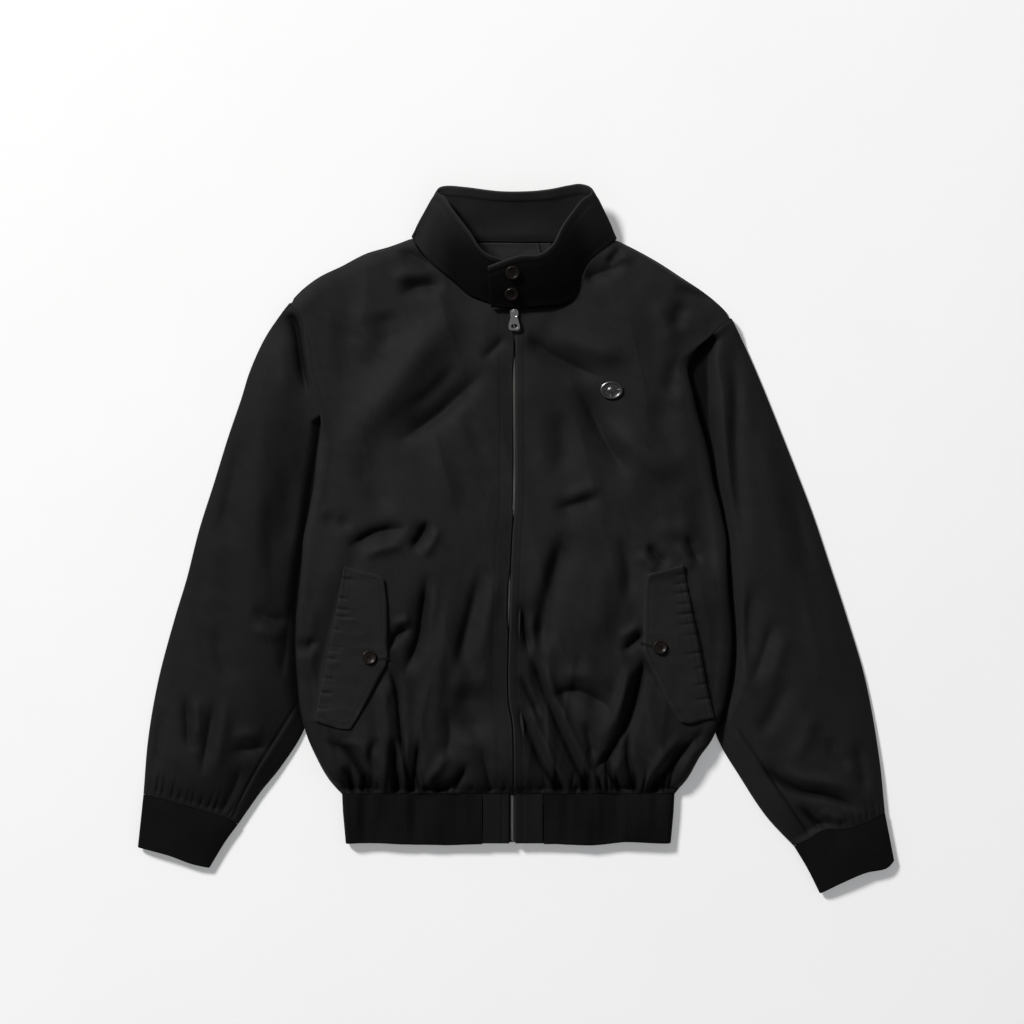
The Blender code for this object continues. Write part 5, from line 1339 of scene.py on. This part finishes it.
def sweepTube(name, path, halfWide, halfThick, look, closedEnds=True, square=2.6, up=(0, 0, 1), sides=14):
    # a rounded flat strap carried along a path: a superellipse section held upright
    path = np.asarray(path, float)
    along = np.gradient(path, axis=0)
    along /= np.linalg.norm(along, axis=1, keepdims=True)
    side = np.cross(np.broadcast_to(np.array(up, float), along.shape), along)
    side /= np.maximum(np.linalg.norm(side, axis=1, keepdims=True), 1e-9)
    rise = np.cross(along, side)
    angle = np.linspace(0, 2 * math.pi, sides, endpoint=False)
    across = np.sign(np.cos(angle)) * np.abs(np.cos(angle)) ** (2 / square) * halfWide
    high = np.sign(np.sin(angle)) * np.abs(np.sin(angle)) ** (2 / square) * halfThick
    rings = path[:, None] + side[:, None] * across[None, :, None] + rise[:, None] * high[None, :, None]
    if closedEnds:
        rings = np.concatenate([np.repeat(path[:1, None], sides, 1), rings, np.repeat(path[-1:, None], sides, 1)])
    run = lineLength(path)
    run = np.concatenate([run[:1], run, run[-1:]]) if closedEnds else run
    uv = stack(angle[None] * halfWide / 2, run[:, None], 0)[..., :2]
    return putGrid(name, rings, look, uv, np.zeros(rings.shape[:2]), wraps=True, turn=True)


loopPath = curveThrough([(24, 325, 3.2), (25, 318, 4.6), (28, 312.5, 5.4), (32, 312, 5.4), (35.5, 317, 4.8),
                         (37, 325, 3.4)])
finishPiece(sweepTube("hangerLoop", loopPath, 1.5 * mm, 0.7 * mm, looks["tape"]))
print("collar and patch made")

# ---- pocket flaps


def flapHeight(name, x, y, edges=True):
    # the front's calm height under the flap, the flap's rise, its puckers and its rounded edges
    spec = flaps[name]
    z = bodyHeight(x, y) + (flapSize["rise"] + flapSize["thick"]) * mm
    sewn = nearLine(x, y, spec["lines"]["sewn"][::6])[0]
    z = z + foldField(x, y, spec["creases"]) + softNoise(x / 0.026, y / 0.04, 81) * 0.7 * mm
    z = z + softNoise(x / 0.02, y / 0.0075, 82) * 0.55 * mm * np.exp(-(sewn / (20 * mm)) ** 2)
    z = z - np.abs(softNoise(x / 0.03 + y / 0.05, y / 0.016, 83)) * 0.7 * mm
    z = z + spec["liftTop"] * mm * np.exp(-(nearLine(x, y, spec["lines"]["top"])[0] / (7 * mm)) ** 2)
    tip = np.hypot(x - spec["tip"][0] * mm, y - spec["tip"][1] * mm)
    z = z + spec["liftTip"] * mm * np.exp(-(tip / (16 * mm)) ** 2)
    if edges:
        far = np.maximum(insideOutline(x, y, spec["outline"]), 0) / mm
        radius = flapSize["edge"]
        z = z - (radius - np.sqrt(np.maximum(radius ** 2 - np.clip(radius - far, 0, radius) ** 2, 0))) * mm
        z = z - 0.18 * mm * np.exp(-((far - flapSize["stitchIn"]) / 1.1) ** 2)
    return z


for name, spec in flaps.items():
    side = -1 if "right" in name else 1
    draws = np.random.default_rng(23 + side)
    spec["tip"] = spec["free"][3]
    spec["creases"] = []
    for y in spec["puckers"]:
        x = xAt(spec["lines"]["sewn"], y * mm) / mm
        long = flapSize["puckerLong"] * draws.uniform(0.6, 1.3)
        deep = flapSize["puckerDeep"] * draws.uniform(0.7, 1.4)
        spec["creases"].append(fold(-deep, 1.9, (x, y), (x - side * long * 0.5, y - 1.2), (x - side * long, y - 1.5),
                                    sharp=1.7, fade=(0, 0.6)))


def makeFlap(name, piece):
    spec = flaps[name]
    side = -1 if "right" in name else 1
    u = (1 - np.cos(np.linspace(0, math.pi, 72))) / 2 * 0.35 + np.linspace(0, 1, 72) * 0.65
    v = (1 - np.cos(np.linspace(0, math.pi, 200))) / 2 * 0.2 + np.linspace(0, 1, 200) * 0.8
    lines = spec["lines"]
    plan = coonsPatch(u, v, lambda t: alongLine(lines["top"], t), lambda t: alongLine(lines["bottom"], t),
                      lambda t: alongLine(lines["sewn"], t), lambda t: alongLine(lines["free"], t))
    z = flapHeight(name, plan[..., 0], plan[..., 1])
    points = stack(plan[..., 0], plan[..., 1], z)
    points = np.pad(points, ((1, 1), (1, 1), (0, 0)), mode="edge")
    fall = np.pad(np.zeros(z.shape), 1, constant_values=(flapSize["thick"] - flapSize["edge"] + 0.7) * mm)
    points[..., 2] -= fall
    far = np.maximum(insideOutline(points[..., 0], points[..., 1], spec["outline"]), 0) / mm
    made = putGrid(piece, points, looks["cotton"], points[..., :2], np.exp(-(far / 0.9) ** 2) * 0.9, turn=side > 0)
    finishPiece(made, [name])
    declareSheet(56, 186, 0.86)
    return made


makeFlap("flap_right", "flapRight")
makeFlap("flap_left", "flapLeft")
print("flaps made")

# ---- zip: tapes, teeth, slider and pull

zipParts = {"pitch": 2.6, "toothWide": 1.7, "toothLong": 1.1, "toothHigh": 1.3, "offset": 0.62,
            "from": 241, "to": -331.5,
            "shownDown": 1.5, "hiddenDown": 2.7, "tapeDown": 2.5, "tapeWide": 13}


def zipHeight(y, down):  # height of the front beside the zip, then of the tabs
    x = xAt(bodyLines["zip"], y)
    front = bodyHeight(x + 6 * mm, y)
    tabs = smoothStep((-276 * mm - y) / (8 * mm))
    return front + (13.2 * mm - front) * tabs - down * mm


def makeTape(side):
    y = np.linspace(250, -332, 260)[:, None] * mm
    across = np.linspace(0.2, zipParts["tapeWide"], 10)[None] * mm
    x = xAt(bodyLines["zip"], y) + side * across
    z = zipHeight(y, zipParts["tapeDown"]) + 0 * x
    points = stack(x, y, z)
    made = putGrid("zipTapeRight" if side < 0 else "zipTapeLeft", points, looks["tape"],
                   np.stack(np.broadcast_arrays(across, y), axis=-1), turn=side < 0)
    finishPiece(made, ["zip_tape_right" if side < 0 else "zip_tape_left"])
    declareSheet(zipParts["tapeWide"] - 0.2, 584)


makeTape(-1)
makeTape(1)


def repeated(name, template, faces, centres, along, up, look, uvScale=1.0):
    # copies of one small form, joined: each point is centre + x along + y across + z up
    along = along / np.linalg.norm(along, axis=1, keepdims=True)
    across = np.cross(up, along)
    across /= np.linalg.norm(across, axis=1, keepdims=True)
    up = np.cross(along, across)
    points = (centres[:, None] + template[None, :, :1] * along[:, None] + template[None, :, 1:2] * across[:, None]
              + template[None, :, 2:] * up[:, None])
    shifted = faces[None] + (np.arange(len(centres)) * len(template))[:, None, None]
    return putMesh(name, points.reshape(-1, 3), shifted.reshape(-1, faces.shape[1]), look)


def bead(long, wide, high, rings=5, sides=8, square=2.0):
    # a small rounded bar: superellipse rings along x that close at both ends
    t = np.linspace(-1, 1, rings + 2)
    girth = (1 - np.abs(t) ** 3.0) ** 0.5
    girth[[0, -1]] = 0.0
    angle = np.linspace(0, 2 * math.pi, sides, endpoint=False)
    across = np.sign(np.cos(angle)) * np.abs(np.cos(angle)) ** (2 / square)
    rise = np.sign(np.sin(angle)) * np.abs(np.sin(angle)) ** (2 / square)
    points = np.stack(np.broadcast_arrays(t[:, None] * long / 2, girth[:, None] * across[None] * wide / 2,
                                          girth[:, None] * rise[None] * high / 2), axis=-1)
    index = np.arange(points.shape[0] * sides).reshape(-1, sides)
    after = np.roll(index, -1, axis=1)
    faces = np.stack([index[:-1], after[:-1], after[1:], index[1:]], axis=-1).reshape(-1, 4)
    return points.reshape(-1, 3), faces


def makeTeeth(spec):
    rows = []
    for side in (-1, 1):
        y = np.arange(spec["from"] + side * spec["pitch"] / 4, spec["to"], -spec["pitch"]) * mm
        x = xAt(bodyLines["zip"], y) + side * spec["offset"] * mm
        shown = smoothStep((frontEdge(1, y) - frontEdge(-1, y) - 1.6 * mm) / (1.5 * mm))
        shown = np.maximum(shown, smoothStep((-279 * mm - y) / (6 * mm)))
        down = spec["hiddenDown"] + (spec["shownDown"] - spec["hiddenDown"]) * shown
        rows.append(stack(x, y, zipHeight(y, 0) - down * mm - spec["toothHigh"] / 2 * mm))
    centres = np.concatenate(rows)
    template, faces = bead(spec["toothWide"] * mm, spec["toothLong"] * mm, spec["toothHigh"] * mm, 3, 8, 3.5)
    along = np.tile([[1.0, 0.0, 0.0]], (len(centres), 1))
    up = np.tile([[0.0, 0.0, 1.0]], (len(centres), 1))
    finishPiece(repeated("zipTeeth", template, faces, centres, along, up, looks["teeth"]))


makeTeeth(zipParts)

hingeAt = frame["joints"][0]["pos_m"]
slider = {"x": -2.0, "y": 246.4, "half": (4.5, 5.5), "thick": 2.2, "bevel": 0.55}
pull = {
    "outline": [(0, 0.6), (2.2, 0.6), (2.7, 0.1), (2.7, -4.6), (3.4, -6.6), (4.4, -9),
                (5.2, -12.5), (6.3, -16), (6.2, -19.2),
                (4.6, -21), (2, -21.4), (0, -21.4)],
    "slot": (1.7, -0.7, -6.0), "ring": (-16.6, 3.5, 2.4), "thick": 1.2, "bevel": 0.32,
}


def plate(name, outlines, thick, bevel, look, at):
    # flat outlines (holes among them) given thickness and rounded edges, as one mesh
    flat = bpy.data.curves.new(name, "CURVE")
    flat.dimensions, flat.fill_mode = "2D", "BOTH"
    flat.extrude, flat.bevel_depth, flat.bevel_resolution, flat.offset = (
        (thick / 2 - bevel) * mm, bevel * mm, 3, -bevel * mm)
    for outline in outlines:
        spline = flat.splines.new("POLY")
        spline.points.add(len(outline) - 1)
        still = np.zeros(len(outline))
        spline.points.foreach_set("co", np.column_stack([outline, still, still + 1]).ravel())
        spline.use_cyclic_u = True
    holder = bpy.data.objects.new(name, flat)
    bpy.context.collection.objects.link(holder)
    bpy.context.view_layer.update()
    mesh = bpy.data.meshes.new_from_object(holder.evaluated_get(bpy.context.evaluated_depsgraph_get()))
    bpy.data.objects.remove(holder)
    mesh.materials.clear()
    mesh.materials.append(look)
    spots = np.empty(len(mesh.vertices) * 3)
    mesh.vertices.foreach_get("co", spots)
    mesh.vertices.foreach_set("co", (spots.reshape(-1, 3) + np.array(at)).ravel())
    mesh.shade_smooth()
    mesh.set_sharp_from_angle(angle=math.radians(50))
    made = bpy.data.objects.new(name, mesh)
    bpy.context.collection.objects.link(made)
    return made


def ovalLine(centreY, halfX, halfY, count=40):
    angle = np.linspace(0, 2 * math.pi, count, endpoint=False)
    return np.stack([np.cos(angle) * halfX, centreY + np.sin(angle) * halfY], axis=-1) * mm


def makePull(spec):
    half = cornerLine(spec["outline"], 1.6)
    whole = np.concatenate([half, half[::-1][1:-1] * [-1, 1]])[::3]
    wide, top, bottom = spec["slot"]
    slot = np.array([(-wide, top), (wide, top), (wide, bottom), (-wide, bottom)]) * mm
    made = plate("zipPull", [whole, slot, ovalLine(*spec["ring"])], spec["thick"], spec["bevel"],
                 looks["steel"], hingeAt)
    finishPiece(made, ["zip_pull"], "zip_pull")


makePull(pull)


def makeSlider(spec):
    halfX, halfY = spec["half"]
    corners = [(0, 1), (0.55, 1), (1, 0.55), (1, -0.2), (0.72, -1), (0, -1)]
    right = cornerLine([(a * halfX, b * halfY) for a, b in corners], 2.0)
    outline = np.concatenate([right, right[::-1][1:-1] * [-1, 1]])[::3]
    low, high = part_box("zip_slider")
    middle = (spec["x"] * mm, spec["y"] * mm, low[2] + spec["thick"] / 2 * mm)
    made = plate("zipSlider", [outline], spec["thick"], spec["bevel"], looks["steel"], middle)
    finishPiece(made, ["zip_slider"])
    hingeY, hingeZ, top = hingeAt[1] / mm, hingeAt[2] / mm, low[2] / mm + spec["thick"]
    over = curveThrough([(spec["x"], hingeY - 3.7, top - 0.4), (spec["x"], hingeY - 3.6, hingeZ + 0.2),
                         (spec["x"], hingeY - 2.6, hingeZ + 1.4), (spec["x"], hingeY - 0.9, hingeZ + 1.75),
                         (spec["x"], hingeY + 0.9, hingeZ + 1.3), (spec["x"], hingeY + 1.7, hingeZ + 0.1),
                         (spec["x"], hingeY + 1.75, top - 0.4)], 8)
    finishPiece(sweepTube("zipSliderBridge", over, 1.15 * mm, 0.5 * mm, looks["steel"], up=(1, 0, 0.001)))


makeSlider(slider)
print("zip made")

# ---- buttons and badge

buttonSize = {"radius": 7.7, "high": 3.2, "hole": 0.95, "holeAt": 1.75, "gap": 0.4}
badge = {"at": (104.5, 163), "half": (12.5, 9.8), "high": 2.6}
buttons = [("collarButtonUpper", (-4, 290), "collarOuter"), ("collarButtonLower", (-5, 268), "collarOuter"),
           ("flapButtonRight", (-160, -129), "flapRight"), ("flapButtonLeft", (157, -118), "flapLeft")]


def turnedFace(radius, rings, sides, heightOf, skirt):
    # polar grid: radii outwards, angles round; the height is a function of both, and the edge folds down
    share = np.concatenate([[0.002], np.linspace(0.04, 1, rings)])
    angle = np.linspace(0, 2 * math.pi, sides, endpoint=False)
    r, a = np.meshgrid(share, angle, indexing="ij")
    x, y = r * np.cos(a), r * np.sin(a)
    z = heightOf(r, a)
    rows = stack(x * radius[0], y * radius[1], z)
    walls = [stack(x[-1] * radius[0] * k, y[-1] * radius[1] * k, z[-1] * 0 + skirt * s)
             for k, s in ((1.012, 0.8), (1.012, 0.35), (0.93, 0.0), (0.02, 0.0))]
    return np.concatenate([rows, np.array(walls)])


def seatOn(target, x, y, gap, reach):
    # the spot and lean of a small piece set on a surface, clear of it all round
    tree = BVHTree.FromObject(bpy.data.objects[target], bpy.context.evaluated_depsgraph_get())

    def dropAt(dx, dy):
        spot, normal, _, _ = tree.ray_cast(Vector((x * mm + dx, y * mm + dy, 1.0)), Vector((0, 0, -1)))
        return spot, (normal if normal.z > 0 else -normal)

    spot, normal = dropAt(0, 0)
    ring = [dropAt(reach * math.cos(a), reach * math.sin(a)) for a in np.linspace(0, 2 * math.pi, 12, endpoint=False)]
    for _, around in ring:
        normal = normal + around * 0.5
    normal.normalize()
    lift = max(0.0, max((at - spot).dot(normal) for at, _ in ring))
    turn = Vector((0, 0, 1)).rotation_difference(normal).to_matrix()
    return np.array(spot + normal * (lift + gap)), np.array(turn)


def makeButton(name, at, target, spec):
    size, high = spec["radius"] * mm, spec["high"] * mm

    def heightOf(r, a):  # raised rim, dished middle, four holes sunk through it
        rim = np.interp(r, [0, 0.5, 0.62, 0.74, 0.84, 0.92, 0.97, 1.0], [0.6, 0.62, 0.7, 0.9, 1.0, 0.97, 0.82, 0.6])
        z = rim * high
        for k in range(4):
            turn = math.pi / 4 + k * math.pi / 2
            far = np.hypot(r * np.cos(a) * size - spec["holeAt"] * mm * math.cos(turn),
                           r * np.sin(a) * size - spec["holeAt"] * mm * math.sin(turn))
            z = z - 0.5 * high * (1 - smoothStep((far - 0.75 * spec["hole"] * mm) / (0.35 * spec["hole"] * mm)))
        return z

    origin, turn = seatOn(target, *at, spec["gap"] * mm, 0.75 * size)
    points = turnedFace((size, size), 46, 72, heightOf, 0.5 * high) @ turn.T + origin
    made = putGrid(name, points, looks["horn"], wraps=True)
    finishPiece(made, [nodeName(name)])
    template, faces = bead(2.5 * mm, 0.9 * mm, 0.6 * mm, 5, 8)
    spots = np.array([(0, dy * spec["holeAt"] * 0.7 * mm, 0.66 * high) for dy in (-1, 1)]) @ turn.T + origin
    along, up = np.tile(turn[:, 0], (2, 1)), np.tile(turn[:, 2], (2, 1))
    finishPiece(repeated(name + "Thread", template, faces, spots, along, up, looks["thread"]))


for name, at, target in buttons:
    makeButton(name, at, target, buttonSize)


def badgeHeight(r, a):  # rim, sunk plate, low dome, and four short spokes between them
    rim = np.interp(r, [0, 0.7, 0.75, 0.82, 0.9, 0.97, 1.0], [0.42, 0.42, 0.8, 0.98, 1.0, 0.86, 0.6])
    dome = 0.42 + 0.56 * np.sqrt(np.clip(1 - (r / 0.36) ** 2, 0, 1))
    spoke = 0.42 + 0.4 * np.exp(-(np.sin(2 * a) / 0.24) ** 4) * smoothStep((0.78 - r) / 0.05)
    return np.maximum(np.maximum(rim, np.where(r < 0.36, dome, 0)), spoke) * badge["high"] * mm


badgeSpot, badgeTurn = seatOn("frontLeft", *badge["at"], 0.4 * mm, 0.7 * badge["half"][1] * mm)
badgePoints = turnedFace((badge["half"][0] * mm, badge["half"][1] * mm), 60, 120, badgeHeight, 0.5 * badge["high"] * mm)
finishPiece(putGrid("frontBadge", badgePoints @ badgeTurn.T + badgeSpot, looks["badge"], wraps=True),
            ["badge"])
print("buttons and badge made")

# ---- stitching

stitch = {"pitch": 3.0, "long": 2.2, "wide": 0.5, "high": 0.36, "sunk": 0.04}


def onSurface(line, heightOf):
    # places along a plan line at the stitch pitch, lifted on the surface, with its direction and normal
    count = max(2, int(lineLength(line)[-1] / (stitch["pitch"] * mm)))
    plan = alongLine(line, (np.arange(count) + 0.5) / count)
    step = 0.6 * mm
    x, y = plan[:, 0], plan[:, 1]
    z = heightOf(x, y)
    slopeX = (heightOf(x + step, y) - heightOf(x - step, y)) / (2 * step)
    slopeY = (heightOf(x, y + step) - heightOf(x, y - step)) / (2 * step)
    up = stack(-slopeX, -slopeY, np.ones(count))
    up /= np.linalg.norm(up, axis=1, keepdims=True)
    flat = np.gradient(plan, axis=0)
    along = stack(flat[:, 0], flat[:, 1], slopeX * flat[:, 0] + slopeY * flat[:, 1])
    return stack(x, y, z), along, up


def sideways(line, away):  # a plan line moved sideways by away
    along = np.gradient(line, axis=0)
    along /= np.linalg.norm(along, axis=1, keepdims=True) + 1e-12
    return line[:, :2] + np.stack([along[:, 1], -along[:, 0]], axis=-1) * away


def makeStitches(name, rows):
    template, faces = bead(stitch["long"] * mm, stitch["wide"] * mm, stitch["high"] * mm, 3, 6)
    centres, along, up = (np.concatenate([row[k] for row in rows]) for k in range(3))
    finishPiece(repeated(name, template, faces, centres + up * stitch["sunk"] * mm, along, up, looks["thread"]))


zipSide = alongLine(bodyLines["zip"], np.linspace(0, 1, 400))
zipSide = zipSide[(zipSide[:, 1] < 249 * mm) & (zipSide[:, 1] > -278 * mm)]
armRight = sideways(bodyLines["sideRight"], 8 * mm)
armRight = armRight[(armRight[:, 1] < 248 * mm) & (armRight[:, 1] > 136 * mm)]
armLeft = sideways(bodyLines["sideLeft"], 7 * mm)
armLeft = armLeft[(armLeft[:, 1] < 236 * mm) & (armLeft[:, 1] > 208 * mm)]
frontRows = [onSurface(zipSide + [-16 * mm, 0], bodyHeight), onSurface(zipSide + [10.6 * mm, 0], bodyHeight),
             onSurface(armRight, bodyHeight), onSurface(armLeft, bodyHeight)]
makeStitches("frontStitches", frontRows)

flapRows = []
for name, spec in flaps.items():
    side = -1 if "right" in name else 1
    heightOf = lambda x, y, name=name: flapHeight(name, x, y)
    sewn, free = spec["lines"]["sewn"], spec["lines"]["free"]
    inward = flapSize["stitchIn"] * mm
    sewnAt = np.clip(lineLength(sewn) / lineLength(sewn)[-1], 0, 1)
    flapRows.append(onSurface(sideways(sewn, side * 2.0 * mm)[(sewnAt > 0.02) & (sewnAt < 0.98)], heightOf))
    flapRows.append(onSurface(sideways(sewn, side * 8.0 * mm)[(sewnAt > 0.03) & (sewnAt < 0.97)], heightOf))
    ring = cornerLine([np.array(p) for p in (spec["top"] + spec["free"] + spec["bottom"][::-1])], 3.0)
    inner = sideways(ring, side * -inward if side > 0 else inward)
    deep = insideOutline(inner[:, 0], inner[:, 1], spec["outline"])
    flapRows.append(onSurface(inner[deep > inward * 0.93][::4], heightOf))
makeStitches("flapStitches", flapRows)


def collarLine(down, inside):  # the points at a given way below the rim, on the outer or the inner face
    rows = []
    for k in range(collarPoints.shape[1]):
        high = collarHigh[:, k]
        at = np.interp(high[-1] - down * mm, high, np.arange(len(high)))
        i = int(min(at, len(high) - 2))
        point = collarPoints[i, k] + (collarPoints[i + 1, k] - collarPoints[i, k]) * (at - i)
        normal = collarNormal[i, k]
        rows.append((point - normal * 2 * collar["roll"] * mm, -normal) if inside else (point, normal))
    return np.array([row[0] for row in rows]), np.array([row[1] for row in rows])


outside, outsideNormal = collarLine(collar["stitchDown"], False)
insideLine, insideNormal = collarLine(collar["stitchInside"], True)


def evenRow(line, normals):
    count = int(lineLength(line)[-1] / (stitch["pitch"] * mm))
    share = (np.arange(count) + 0.5) / count
    run = lineLength(line) / lineLength(line)[-1]
    centres = alongLine(line, share)
    normal = np.stack([np.interp(share, run, normals[:, k]) for k in range(3)], axis=-1)
    return centres, np.gradient(centres, axis=0), normal / np.linalg.norm(normal, axis=1, keepdims=True)


endColumn = -int(len(outside) * 0.012) - 1
collarRows = [evenRow(outside, outsideNormal), evenRow(insideLine, insideNormal),
              evenRow(collarPoints[3:-6, endColumn], collarNormal[3:-6, endColumn])]
makeStitches("collarStitches", collarRows)

# buttonholes: close satin stitches round a slit
holes = [((-147, -131), 0.06, "flap_right"), ((144.5, -116), -0.3, "flap_left")]
holeRows = []
for (x, y), turn, name in holes:
    long = 8.5
    for sideWay in (-1, 1):
        t = np.linspace(-long, long, 34) * mm
        plan = np.stack([x * mm + t * math.cos(turn) - sideWay * 0.9 * mm * math.sin(turn),
                         y * mm + t * math.sin(turn) + sideWay * 0.9 * mm * math.cos(turn)], axis=-1)
        z = flapHeight(name, plan[:, 0], plan[:, 1])
        across = np.tile([[-math.sin(turn), math.cos(turn), 0.0]], (len(t), 1))
        holeRows.append((stack(plan[:, 0], plan[:, 1], z), across, np.tile([[0.0, 0.0, 1.0]], (len(t), 1))))
template, faces = bead(1.7 * mm, 0.55 * mm, 0.6 * mm, 3, 6)
centres, along, up = (np.concatenate([row[k] for row in holeRows]) for k in range(3))
finishPiece(repeated("flapButtonholes", template, faces, centres, along, up, looks["thread"]))
print("stitching made")
